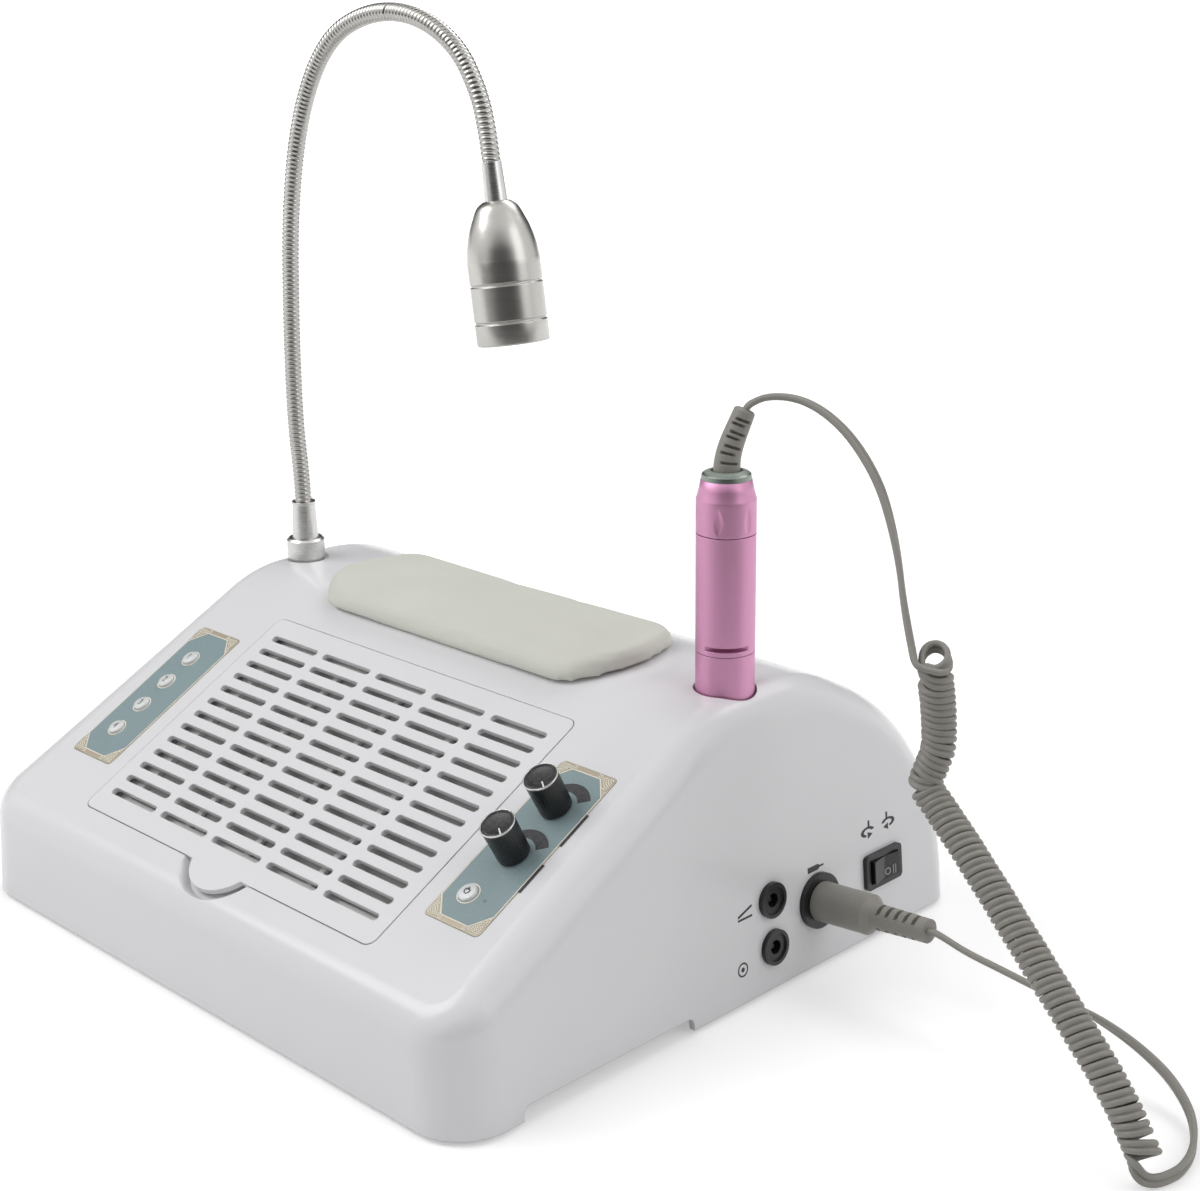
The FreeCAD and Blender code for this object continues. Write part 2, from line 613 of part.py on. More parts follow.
def screw(name, radius, head_radius, head_height, length):
    """A screw standing on its head at its own origin."""
    return turned(name, [(0, 0), (head_radius, 0), (head_radius, head_height), (radius, head_height),
                         (radius, head_height + length), (0, head_height + length)])


screws = [move(screw(f"base_screw_{i}", d.screw_radius, d.screw_head_radius, d.screw_head_height, 11), x, y,
               d.base_bottom) for i, (x, y) in enumerate(posts)]
fan_screw_places = [(a * d.fan_screw_pitch / 2, b * d.fan_screw_pitch / 2) for a in (-1, 1) for b in (-1, 1)]
for i, (x, s) in enumerate(fan_screw_places):
    screws.append(on_slope(screw(f"fan_screw_{i}", d.fan_screw_radius, d.screw_head_radius, d.screw_head_height,
                                 d.fan_depth + d.tray_wall - 0.2), x, s, fan_floor - d.screw_head_height))
node(group("screws", *screws), "machine_screws")

# Grille lid: a slab with a finger tab, a field of slots and two hooks under its rear edge
lid = slab("lid_body", -d.lid_width / 2, d.lid_width / 2, -d.lid_length / 2, d.lid_length / 2, lid_under,
           d.lid_proud, d.lid_round)
slotted(lid, "slots", -d.column_pitch * (SLOT_COLUMNS - 1) / 2, -d.row_pitch * (SLOT_ROWS - 1) / 2,
        d.slot_length, d.slot_width, d.lid_proud, d.lid_thickness * 2,
        [("X_Axis", d.column_pitch, SLOT_COLUMNS), ("Y_Axis", d.row_pitch, SLOT_ROWS)])
tab = common("finger_tab", rod("tab_disc", d.tab_radius, lid_under, d.lid_proud, 0, tab_s),
             block("tab_side", -d.tab_radius, d.tab_radius, -d.lid_length, -opening_s, lid_under, d.lid_proud))
hooks = []
for side, name in ((LEFT, "left"), (RIGHT, "right")):
    x0 = side * d.hook_centre - d.hook_width / 2
    x1 = x0 + d.hook_width
    rear = d.lid_length / 2
    hooks.append(block(name + "_hook_stem", x0, x1, rear - d.hook_root, rear, hook_low, lid_under + 0.5))
    hooks.append(block(name + "_hook_tongue", x0, x1, rear - 1, rear + d.hook_reach, hook_low,
                       hook_low + d.hook_thickness))
node(on_slope(fuse("lid", lid, tab, *hooks)), "grille_lid")

# Filter cassette in its tray, then the fan that draws through it
tray_x = opening_x - d.moving_gap
tray_s = opening_s - d.moving_gap
filter_x = tray_x - d.tray_wall - d.snug
filter_s = tray_s - d.tray_wall - d.snug
window_x, window_s = filter_x - d.filter_rim, filter_s - d.filter_rim
rib_depth = 1.5
ribs = [block(f"rib_{i}", x - d.filter_rib / 2, x + d.filter_rib / 2, -window_s - 1, window_s + 1,
              filter_top - rib_depth, filter_top)
        for i, x in enumerate(window_x * part for part in (-0.5, 0, 0.5))]
ribs.append(block("cross_rib", -window_x - 1, window_x + 1, -d.filter_rib / 2, d.filter_rib / 2,
                  filter_top - rib_depth, filter_top))
cassette = cut("cassette", slab("cassette_block", -filter_x, filter_x, -filter_s, filter_s, filter_floor, filter_top, 3),
               block("cassette_window", -window_x, window_x, -window_s, window_s, filter_floor - 1, filter_top + 1))
node(on_slope(fuse("filter_cassette", cassette, *ribs)), "filter_frame")
node(on_slope(block("media", -window_x, window_x, -window_s, window_s, 0, d.media_thickness),
              -window_x, -window_s, filter_floor + 0.5), "filter_media")
tray_inner_x, tray_inner_s = tray_x - d.tray_wall, tray_s - d.tray_wall
half_fan = d.fan_size / 2
tray_hole = half_fan - 8
tray_shell = fuse("tray_shell", slab("tray_walls", -tray_x, tray_x, -tray_s, tray_s, fan_top, ledge_under, 3),
                  block("tray_floor", -tray_x, tray_x, -half_fan, half_fan, fan_top, filter_floor),
                  block("tray_flanges", -frame_x, frame_x, -tray_s + 6, tray_s - 6, ledge_under - d.tray_wall,
                        ledge_under))
node(on_slope(cut("tray", tray_shell,
                  slab("tray_inside", -tray_inner_x, tray_inner_x, -tray_inner_s, tray_inner_s, filter_floor,
                       ledge_under + 1, 2),
                  rod("tray_hole", tray_hole, fan_top - 1, filter_floor + 1),
                  *[rod(f"tray_screw_hole_{i}", d.fan_screw_radius, fan_top - 1, fan_top + d.tray_wall, x, s)
                    for i, (x, s) in enumerate(fan_screw_places)])), "suction_tray")
guard_mid = filter_floor - d.tray_wall / 2
guard = [ring("guard_rim", tray_hole, tray_hole - 3, guard_mid - d.guard_wire, guard_mid + d.guard_wire)]
for i in range(GUARD_RINGS):
    hoop = doc.addObject("Part::Torus", f"guard_ring_{i}")
    bind(hoop, "Radius1", d.guard_pitch * (i + 1))
    bind(hoop, "Radius2", d.guard_wire)
    guard.append(move(hoop, 0, 0, guard_mid))
spoke = tray_hole - 1
guard.append(block("guard_bar_x", -spoke, spoke, -d.guard_wire, d.guard_wire, guard_mid - 0.6, guard_mid + 0.6))
guard.append(block("guard_bar_s", -d.guard_wire, d.guard_wire, -spoke, spoke, guard_mid - 0.6, guard_mid + 0.6))
node(on_slope(fuse("guard", *guard)), "fan_guard")

hub_base = fan_floor + d.fan_base_thickness
tube_radius = d.fan_shaft_radius + 2.5
tube_top = hub_base + d.stator_height + 2
square = cut("fan_square", slab("fan_block", -half_fan, half_fan, -half_fan, half_fan, fan_floor, fan_top, d.fan_corner),
             rod("fan_bore_hole", d.fan_bore, fan_floor - 1, fan_top + 1))
strut = half_fan - 1
struts = [block("strut_x", -strut, strut, -d.strut_width / 2, d.strut_width / 2, fan_floor, hub_base),
          block("strut_s", -d.strut_width / 2, d.strut_width / 2, -strut, strut, fan_floor, hub_base)]
node(on_slope(cut("fan_housing",
                  fuse("fan_solid", square, rod("fan_base", d.hub_radius, fan_floor, hub_base),
                       rod("bearing_tube", tube_radius, fan_floor, tube_top), *struts),
                  rod("bearing_bore", d.fan_shaft_radius + d.running, fan_floor + 1, tube_top + 1),
                  *[rod(f"fan_screw_hole_{i}", d.fan_screw_radius + d.snug, fan_floor - 1, fan_top + 1, x, s)
                    for i, (x, s) in enumerate(fan_screw_places)])), "fan_frame")
node(on_slope(ring("stator", d.stator_radius, tube_radius, hub_base, hub_base + d.stator_height)), "fan_stator")

hub_top = fan_top - 1
hub_floor = hub_top - d.hub_height
hub_mid = hub_top - d.hub_height / 2
hub_inner = d.hub_radius - d.hub_wall
cap_under = hub_top - d.hub_wall * 1.5
hub = turned("hub", [(0, cap_under), (hub_inner, cap_under), (hub_inner, hub_floor), (d.hub_radius, hub_floor),
                     (d.hub_radius, hub_top), (0, hub_top)])
blade = spun("blade_tilted", slab("blade", d.hub_radius - 1, d.fan_bore, -d.blade_thickness / 2, d.blade_thickness / 2,
                                  -d.blade_width / 2, d.blade_width / 2), (1, 0, 0), d.blade_angle)
blades = [move(spun(f"blade_{i}", blade, (0, 0, 1), 360 * i / FAN_BLADES), 0, 0, hub_mid) for i in range(FAN_BLADES)]
sweep = ring("blade_sweep", d.fan_bore - d.blade_tip_gap, d.hub_radius - 0.8, hub_floor, hub_top)
node(on_slope(cut("rotor", fuse("rotor_solid", hub, common("blade_ring", sweep, fuse("blade_set", *blades))),
                  rod("rotor_bore", d.fan_shaft_radius, cap_under - 1, hub_top + 1))), "fan_rotor")
node(slope_rod("shaft", d.fan_shaft_radius, fan_floor + 1.2, hub_top), "fan_shaft")

# Control panels with their keys, knobs, potentiometers and boards
for side, name in ((LEFT, "left"), (RIGHT, "right")):
    plate = slab(name + "_plate", -half_panel_x, half_panel_x, -half_panel_s, half_panel_s, -d.panel_sunk,
                 panel_top, d.panel_round)
    on_slope(plate, side * d.panel_centre, d.panel_offset)
    if side == LEFT:
        holes = [slope_rod(f"plate_key_hole_{i + 1}", d.key_radius + key_gap, -5, 5, x, s)
                 for i, (x, s) in enumerate(keys)]
    else:
        holes = [slope_rod(f"plate_{knob}_hole", d.bushing_radius + d.snug, -5, 5, d.knob_column, s)
                 for knob, s in knobs]
        holes.append(slope_rod("plate_start_hole", d.start_radius + key_gap, -5, 5, *start_place))
    node(cut(name + "_panel", plate, *holes), name + "_panel_plate")

flange_top = wall_under - 0.1
flange_low = flange_top - d.key_flange_thickness
stem_low = flange_low - d.key_travel - 0.2
key_top = panel_top + d.key_proud
dome = 0.5


def key(name, radius):
    flange = radius + d.key_flange - d.key_radius
    return turned(name, [(0, stem_low), (d.key_stem_radius, stem_low), (d.key_stem_radius, flange_low),
                         (flange, flange_low), (flange, flange_top), (radius, flange_top),
                         (radius, key_top - dome), (radius - dome, key_top), (0, key_top + dome / 2)])


for i, (x, s) in enumerate(keys):
    node(on_slope(key(f"key_{i + 1}", d.key_radius), x, s), f"mode_button_{i + 1}")
node(on_slope(key("start_key", d.start_radius), *start_place), "start_button")

switch_half = d.switch_size / 2
for side, name, places in ((LEFT, "left", keys), (RIGHT, "right", [start_place])):
    board = slab(name + "_board", -d.board_width / 2, d.board_width / 2, -d.board_length / 2, d.board_length / 2,
                 board_top - d.board_thickness, board_top, 2)
    on_slope(board, side * d.panel_centre)
    switches = [on_slope(slab(f"{name}_switch_{i + 1}", -switch_half, switch_half, -switch_half, switch_half,
                              board_top, board_top + d.switch_height), x, s) for i, (x, s) in enumerate(places)]
    node(group(name + "_controls", board, *switches), name + "_control_board")

knob_low = panel_top + d.knob_lift
knob_top = knob_low + d.knob_height
grip = knob_low + d.knob_grip
ceiling = d.bushing_top + 2
lip = 0.5
pots = []
for name, s in knobs:
    hollow = d.knob_radius - d.knob_wall
    node(on_slope(turned(name + "_cap", [
        (0, grip), (d.pot_shaft_radius, grip), (d.pot_shaft_radius, ceiling), (hollow, ceiling), (hollow, knob_low),
        (d.knob_radius, knob_low), (d.knob_radius, knob_top - lip), (d.knob_radius - lip, knob_top),
        (d.knob_radius - 2 * lip, knob_top - lip), (0, knob_top - 2 * lip)]), d.knob_column, s), name + "_knob")
    bore = d.pot_shaft_radius + d.running
    bore_low = board_top + 1
    pots.append(on_slope(turned(name + "_pot", [
        (bore, bore_low), (bore, d.bushing_top), (d.bushing_radius, d.bushing_top), (d.bushing_radius, wall_under),
        (d.pot_body_radius, wall_under), (d.pot_body_radius, board_top), (0, board_top), (0, bore_low)]),
        d.knob_column, s))
    nut = cut(name + "_nut", hexagon(name + "_hexagon", d.pot_nut_radius, panel_top, panel_top + d.pot_nut_thickness),
              rod(name + "_nut_hole", d.bushing_radius, panel_top - 1, panel_top + d.pot_nut_thickness + 1))
    pots.append(on_slope(nut, d.knob_column, s))
    node(slope_rod(name + "_spindle", d.pot_shaft_radius, bore_low + 0.2, grip, d.knob_column, s), name + "_knob_shaft")
node(group("pots", *pots), "knob_potentiometers")

# Right wall: inlets, motor socket, their nuts, and the reversing switch
jack_step = 0.8
recess = d.jack_flange_radius - 1.5
jacks = []
for name, z in (("pedal", d.pedal_jack_z), ("power", d.power_jack_z)):
    face = d.jack_flange_thickness
    pin_low = -d.jack_depth + 4
    jacks.append(on_side(turned(name + "_jack", [
        (0, -d.jack_depth), (d.jack_body_radius, -d.jack_depth), (d.jack_body_radius, 0), (d.jack_flange_radius, 0),
        (d.jack_flange_radius, face), (recess, face), (recess, face - jack_step), (d.jack_bore, face - jack_step),
        (d.jack_bore, pin_low), (0, pin_low)]), d.jack_row, z))
    jacks.append(on_side(rod(name + "_pin", d.jack_pin_radius, pin_low, face - 2.5), d.jack_row, z, pin_low))
node(group("jacks", *jacks), "inlet_jacks")

socket_floor = -d.socket_depth + 5.5
pin_places = [(d.plug_pin_circle * math.cos(2 * math.pi * i / PLUG_PINS),
               d.plug_pin_circle * math.sin(2 * math.pi * i / PLUG_PINS)) for i in range(PLUG_PINS)]
socket = turned("socket_shell", [
    (0, -d.socket_depth), (d.socket_body_radius, -d.socket_depth), (d.socket_body_radius, 0),
    (d.socket_flange_radius, 0), (d.socket_flange_radius, d.socket_flange_thickness),
    (d.socket_bore, d.socket_flange_thickness), (d.socket_bore, socket_floor), (0, socket_floor)])
socket_holes = [rod(f"socket_pin_hole_{i}", d.plug_pin_radius + d.snug, 1.5 - d.socket_depth, socket_floor + 1, x, y)
                for i, (x, y) in enumerate(pin_places)]
node(on_side(cut("socket", socket, *socket_holes), d.socket_y, d.socket_z), "motor_socket")
nuts = [on_side(ring(name + "_ring_nut", outer, inner, wall_under - d.jack_nut_thickness, wall_under), y, z)
        for name, outer, inner, y, z in (
            ("pedal", d.jack_nut_radius, d.jack_body_radius, d.jack_row, d.pedal_jack_z),
            ("power", d.jack_nut_radius, d.jack_body_radius, d.jack_row, d.power_jack_z),
            ("socket", d.socket_nut_radius, d.socket_body_radius, d.socket_y, d.socket_z))]
node(group("nuts", *nuts), "socket_nuts")

bezel_x, bezel_y = d.bezel_height / 2, d.bezel_length / 2
rocker_x, rocker_y = d.rocker_height / 2, d.rocker_length / 2
pivot = -1
pin_reach = rocker_x + 1
switch_shell = fuse("switch_shell", slab("bezel", -bezel_x, bezel_x, -bezel_y, bezel_y, 0, d.bezel_thickness, 2),
                    slab("switch_body", -switch_x, switch_x, -switch_y, switch_y, -d.switch_body_depth, 0.5))


def cross_pin(name, radius, reach):
    """A pin along the side frame's X through the rocker's pivot."""
    pin = rod(name, radius, 0, reach * 2)
    move(pin, -reach, 0, pivot)
    return turn(pin, (0, 1, 0), 90)


node(on_side(cut("switch_case", switch_shell,
                 block("rocker_pocket", -rocker_x - 0.35, rocker_x + 0.35, -rocker_y - d.rocker_end_gap,
                       rocker_y + d.rocker_end_gap, -d.rocker_pocket_depth, 5),
                 cross_pin("rocker_pin_hole", d.rocker_pin_radius + d.running, pin_reach + 0.1)),
             d.rocker_y, d.rocker_z), "rocker_housing")
rocker_end = d.bezel_thickness + 1.6
rocker_body = prism("rocker_body", [
    (-rocker_y, rocker_end), (0, d.bezel_thickness), (rocker_y, rocker_end), (rocker_y, 0.5),
    (3, -d.rocker_depth), (-3, -d.rocker_depth), (-rocker_y, 0.5)], -rocker_x, rocker_x, role="YZ_Plane")
node(on_side(fuse("rocker_with_pin", rocker_body, cross_pin("rocker_pin", d.rocker_pin_radius, pin_reach)),
             d.rocker_y, d.rocker_z), "rocker")

board_x0 = d.main_board_x - d.main_board_width / 2
board_y0 = d.main_board_y - d.main_board_depth / 2
main_top = main_board_low + d.board_thickness
node(group("main_electronics",
           slab("main_plate", board_x0, board_x0 + d.main_board_width, board_y0, board_y0 + d.main_board_depth,
                main_board_low, main_top, 2),
           block("transformer", board_x0 + 8, board_x0 + 36, board_y0 + 12, board_y0 + 38, main_top, main_top + 24),
           rod("capacitor", 6, main_top, main_top + 20, board_x0 + 52, board_y0 + 20),
           rod("small_capacitor", 4, main_top, main_top + 12, board_x0 + 68, board_y0 + 20),
           block("heat_spreader", board_x0 + 46, board_x0 + 86, board_y0 + 44, board_y0 + 48, main_top,
                 main_top + 22)), "main_board")

# Hand rest: an upholstered cushion over a rigid board, both bent over the crease and the crown
def rest_block(name, inset):
    wide, front, back = d.pad_half_width - inset, d.pad_front + inset, d.pad_back - inset
    return slab(name, -wide, wide, front, back, d.crown_height - 30, sky, d.pad_round - inset)


board_form = housing_form("rest_board_form", -d.pad_base_thickness, d.skirt_gap)
gap_form = housing_form("rest_gap_form", -d.soft_gap, d.skirt_gap)
cushion_form = housing_form("cushion_form", -d.pad_thickness, d.skirt_gap)
rest_board = cut("rest_board", common("rest_board_blank", board_form, rest_block("rest_board_block", d.pad_base_inset)),
                 outer_form)
node(rest_board, "hand_rest_board")
node(cut("cushion", common("cushion_blank", cushion_form, rest_block("cushion_block", 0)), gap_form, rest_board),
     "hand_rest_cushion")

# Lamp foot on the left, with its nut under the crown
chamfer = 1.0
node(move(turned("collar", [
    (d.neck_bore, lamp_boss_floor - 9), (d.lamp_stem_radius, lamp_boss_floor - 9), (d.lamp_stem_radius, lamp_seat),
    (d.lamp_collar_radius, lamp_seat), (d.lamp_collar_radius, d.lamp_collar_top - chamfer),
    (d.lamp_collar_top_radius, d.lamp_collar_top), (d.neck_bore, d.lamp_collar_top)]),
    d.lamp_x, d.crown_row), "lamp_collar")
washer_low = lamp_boss_floor - d.lamp_washer_thickness
nut_low = washer_low - d.lamp_nut_thickness
node(group("lamp_fixing",
           cut("lamp_hexagon", hexagon("lamp_nut_block", d.lamp_nut_width, nut_low, washer_low, d.lamp_x, d.crown_row),
               rod("lamp_nut_hole", d.lamp_stem_radius, nut_low - 1, washer_low + 1, d.lamp_x, d.crown_row)),
           move(ring("lamp_washer", d.lamp_washer_radius, d.lamp_stem_radius, washer_low, lamp_boss_floor),
                d.lamp_x, d.crown_row)), "lamp_nut")
neck_foot = d.lamp_collar_top + 7.5
sleeve_lip = 1.2
node(move(turned("lower_sleeve", [
    (d.neck_bore, d.lamp_collar_top), (d.neck_sleeve_radius, d.lamp_collar_top),
    (d.neck_sleeve_top_radius, d.neck_sleeve_top - sleeve_lip),
    (d.neck_sleeve_top_radius + 0.3, d.neck_sleeve_top - sleeve_lip),
    (d.neck_sleeve_top_radius + 0.3, d.neck_sleeve_top), (d.neck_radius, d.neck_sleeve_top),
    (d.neck_radius, neck_foot), (d.neck_bore, neck_foot)]), d.lamp_x, d.crown_row), "lamp_lower_sleeve")


def route(points):
    """Straight runs joined by tangent arcs, each as large as its two runs allow."""
    edges, radii = [], []
    start = points[0]
    for before, corner, after in zip(points, points[1:], points[2:]):
        into, out = corner - before, after - corner
        half = into.getAngle(out) / 2
        setback = 0.45 * min(into.Length, out.Length)
        first = corner - into.normalize() * setback
        last = corner + out.normalize() * setback
        bulge = (into - out).normalize()
        radius = setback / math.tan(half)
        radii.append(radius)
        middle = corner - bulge * (radius * (1 / math.cos(half) - 1))
        edges.append(Part.LineSegment(start, first).toShape())
        edges.append(Part.Arc(first, middle, last).toShape())
        start = last
    edges.append(Part.LineSegment(start, points[-1]).toShape())
    return Part.Wire(edges), radii


def swept(wire, radius):
    start = wire.Edges[0]
    disc = Part.Circle(start.valueAt(start.FirstParameter), start.tangentAt(start.FirstParameter), radius)
    return wire.makePipeShell([Part.Wire(disc.toShape())], True, False)


def tube(name, points, radius, bore=None):
    """A tube along a route; its section and size are checked against its length."""
    wire, radii = route(points)
    solid = swept(wire, radius.value)
    area = math.pi * radius.value ** 2
    if bore is not None:
        solid = solid.cut(swept(wire, bore.value))
        area -= math.pi * bore.value ** 2
    share = solid.Volume / (area * wire.Length)
    print(f"{name}: {wire.Length:.0f} mm, volume over section times length {share:.4f}, radii",
          ", ".join(f"{radius:.0f}" for radius in radii))
    thing = doc.addObject("Part::Feature", name)
    thing.Shape = solid
    return thing


# Goose neck in the plane of the crown row, cut into a root, an arch and an end at mid-run
tilt = math.radians(d.head_tilt.value)
head_joint = Vector(d.head_joint_x.value, d.crown_row.value, d.head_joint_z.value)
neck = [Vector(x, d.crown_row.value, z) for x, z in (
    (d.lamp_x.value, neck_foot.value), (d.lamp_x.value, 160), (-137, 185), (-136, 232), (-132, 286), (-120.5, 330),
    (-99.5, 360.5), (-70.5, 372.3), (-40.5, 372.3), (-15, 360.5), (-2, 341.5))]
neck += [head_joint + Vector(-math.sin(tilt), 0, math.cos(tilt)) * 11, head_joint]
ROOT_END, ARCH_END = 3, 8
root_cut = (neck[ROOT_END - 1] + neck[ROOT_END]) / 2
arch_cut = (neck[ARCH_END - 1] + neck[ARCH_END]) / 2
for name, points in (("neck_root", neck[:ROOT_END] + [root_cut]),
                     ("neck_arch", [root_cut] + neck[ROOT_END:ARCH_END] + [arch_cut]),
                     ("neck_end", [arch_cut] + neck[ARCH_END:])):
    node(tube(name + "_tube", points, d.neck_radius, d.neck_bore), name)

# Lamp head, built hanging from its joint
DOME = [(0.0, 0.0), (0.316, 0.099), (0.568, 0.300), (0.763, 0.494), (0.92, 0.74), (1.0, 1.0)]


def on_head(thing):
    move(thing, d.head_joint_x, d.crown_row, d.head_joint_z)
    return turn(thing, (0, 1, 0), -d.head_tilt)


def below(depth):
    """A height in the head's own frame, measured down from the top of its shell."""
    return -d.upper_sleeve_length - depth


def dome_outline(inset):
    spread = d.head_radius - d.head_top_radius
    return [(d.head_top_radius + spread * across - inset, below(d.head_cone * down + inset)) for across, down in DOME]


node(on_head(turned("upper_sleeve", [
    (d.neck_bore, below(0)), (d.upper_sleeve_end_radius, below(0)), (d.upper_sleeve_radius, 0), (d.neck_bore, 0)])),
    "lamp_upper_sleeve")
rim_inner = d.head_radius - d.head_wall
shell = turned("head_shell", [(d.neck_bore, below(0))] + dome_outline(0)
               + [(d.head_radius, below(d.head_length)), (rim_inner, below(d.head_length))]
               + dome_outline(d.head_wall)[::-1] + [(d.neck_bore, below(d.head_wall))])
groove_cutters = [
    ring(name, d.head_radius + 1, d.head_radius - d.head_groove, below(depth + d.groove_width / 2),
         below(depth - d.groove_width / 2))
    for name, depth in (("high_groove", d.upper_groove), ("low_groove", d.lower_groove))]
node(on_head(cut("head", shell, *groove_cutters)), "lamp_head_shell")
lens_top = d.head_length - d.lens_inset - d.lens_thickness
led_top = lens_top - 4
sink_low = led_top - d.led_board_thickness
fin_radius = rim_inner - 0.4
sink = [rod("sink_core", d.heat_sink_core, below(sink_low), below(sink_low - d.heat_sink_height))]
for i in range(SINK_FINS):
    fin_low = sink_low - (d.heat_sink_height - d.heat_sink_fin) * i / (SINK_FINS - 1)
    sink.append(rod(f"sink_fin_{i}", fin_radius if i else rim_inner, below(fin_low), below(fin_low - d.heat_sink_fin)))
node(on_head(fuse("sink", *sink)), "lamp_heat_sink")
leds = [rod("led_plate", rim_inner - 0.2, below(led_top), below(sink_low))]
for i in range(LED_COUNT):
    angle = 2 * math.pi * i / LED_COUNT
    leds.append(rod(f"led_{i}", d.led_radius, below(led_top + 1), below(led_top),
                    rim_inner * (0.62 * math.cos(angle)), rim_inner * (0.62 * math.sin(angle))))
node(on_head(fuse("led_assembly", *leds)), "lamp_led_board")
node(on_head(turned("lens_disc", [
    (0, below(lens_top)), (rim_inner, below(lens_top)), (rim_inner, below(lens_top + d.lens_thickness)),
    (0, below(lens_top + d.lens_thickness + 0.8))])), "lamp_lens")

# Drill handpiece standing in its holder cup
cup_low = boss_floor - d.cup_depth
cup_inner = d.tool_radius + d.cup_gap
cup_outer = cup_inner + d.cup_wall
cup_seat = d.sleeve_bottom - d.soft_gap


def on_tool(thing):
    return move(thing, d.tool_x, d.crown_row)


node(on_tool(turned("cup", [
    (0, cup_low), (cup_outer, cup_low), (cup_outer, boss_floor - d.cup_floor),
    (cup_outer + d.cup_floor, boss_floor - d.cup_floor), (cup_outer + d.cup_floor, boss_floor),
    (cup_inner, boss_floor), (cup_inner, cup_seat), (d.cup_seat_bore, cup_seat),
    (d.cup_seat_bore, cup_low + d.cup_floor), (0, cup_low + d.cup_floor)])), "holder_cup")
tool_inner = d.tool_radius - d.tool_wall
body_low = d.sleeve_top + d.tool_seam
motor_top = d.micro_motor_bottom + d.micro_motor_height
barrel = turned("barrel", [
    (d.nose_tube_radius, body_low), (d.tool_radius, body_low), (d.tool_radius, d.cap_bottom),
    (tool_inner, d.cap_bottom), (tool_inner, d.micro_motor_bottom - 1), (d.nose_tube_radius, d.micro_motor_bottom - 1)])
vent = spun("vent_cutter", block("vent_block", d.vent_reach, d.tool_radius + 1, -d.tool_radius, d.tool_radius,
                                 body_low + d.vent_rise, body_low + d.vent_rise + d.vent_height), (0, 0, 1), -45)
node(on_tool(cut("vented_barrel", barrel, vent)), "handpiece_body")
ring_low = d.tool_top - d.end_ring_height
rim_seam = d.tool_rim_radius + 0.3
node(on_tool(turned("rear_cap", [
    (tool_inner, d.cap_bottom + d.tool_seam), (d.tool_radius, d.cap_bottom + d.tool_seam),
    (d.tool_radius, d.tool_shoulder), (rim_seam, ring_low), (d.end_ring_bore, ring_low),
    (d.end_ring_bore, ring_low - d.grommet_height), (tool_inner, d.tool_shoulder - 1)])), "handpiece_cap")
node(on_tool(turned("end_ring", [
    (d.end_ring_bore, ring_low), (rim_seam, ring_low), (d.tool_rim_radius, d.tool_top - 0.6),
    (d.tool_rim_radius - 0.8, d.tool_top), (d.end_ring_bore, d.tool_top - 0.4)])), "handpiece_end_ring")
bearing_low = d.nose_top - d.tool_bearing_height
node(on_tool(turned("nose", [
    (d.tool_bearing_radius, d.nose_bottom), (d.nose_radius, d.nose_bottom), (d.nose_tube_radius, d.nose_bottom + 6),
    (d.nose_tube_radius, d.nose_top), (d.tool_bearing_radius, d.nose_top), (d.tool_bearing_radius, bearing_low),
    (d.nose_bore, bearing_low), (d.nose_bore, d.nose_bottom + d.tool_bearing_height),
    (d.tool_bearing_radius, d.nose_bottom + d.tool_bearing_height)])), "handpiece_nose")
bearings = [on_tool(ring(f"bearing_{i}", d.tool_bearing_radius, d.spindle_radius + d.running, low,
                         low + d.tool_bearing_height)) for i, low in enumerate((d.nose_bottom, bearing_low))]
node(group("bearings", *bearings), "nose_bearings")
taper_top = d.sleeve_bottom + 8
node(on_tool(turned("twist_sleeve", [
    (d.nose_tube_radius + d.running, d.sleeve_bottom), (d.tool_radius - 1.6, d.sleeve_bottom),
    (d.tool_radius, taper_top), (d.tool_radius, d.sleeve_top), (d.nose_tube_radius + d.running, d.sleeve_top)])),
    "lock_sleeve")
collet_top = d.spindle_bottom + d.collet_depth
node(on_tool(turned("spindle_rod", [
    (d.collet_radius, d.spindle_bottom), (d.spindle_radius, d.spindle_bottom), (d.spindle_radius, d.spindle_top),
    (d.motor_shaft_radius, d.spindle_top), (d.motor_shaft_radius, motor_top + 1), (0, motor_top + 1),
    (0, collet_top), (d.collet_radius, collet_top)])), "spindle")
node(on_tool(ring("motor", tool_inner, d.motor_shaft_radius + d.running, d.micro_motor_bottom, motor_top)),
     "micro_motor")

# Strain relief: a ball in its grommet, leaning over with the cord
LEAN_TOWARDS = 62
relief_neck = d.strain_relief_radius * 0.8
relief_profile = [(0, -d.strain_relief_radius), (d.strain_relief_radius * 0.7, -d.strain_relief_radius * 0.7),
                  (d.strain_relief_radius, 0), (relief_neck, d.strain_relief_radius * 0.6),
                  (relief_neck, 6)]
ring_pitch = (d.strain_relief_length - 6) / (RELIEF_RINGS + 0.4)
for i in range(RELIEF_RINGS):
    outer = d.strain_relief_radius - 0.3 - (d.strain_relief_radius - d.strain_relief_end) * (i + 1) / RELIEF_RINGS * 0.8
    low = 6 + ring_pitch * i
    relief_profile += [(outer, low), (outer, low + ring_pitch * 0.6), (outer - 0.9, low + ring_pitch * 0.6),
                       (outer - 0.9, low + ring_pitch)]
relief_profile += [(d.strain_relief_end, d.strain_relief_length - ring_pitch * 0.4),
                   (d.strain_relief_end, d.strain_relief_length), (0, d.strain_relief_length)]
heading = math.radians(LEAN_TOWARDS)
relief = turned("relief", relief_profile)
move(relief, d.tool_x, d.crown_row, d.strain_relief_foot)
turn(relief, (-math.sin(heading), math.cos(heading), 0), d.strain_relief_lean)
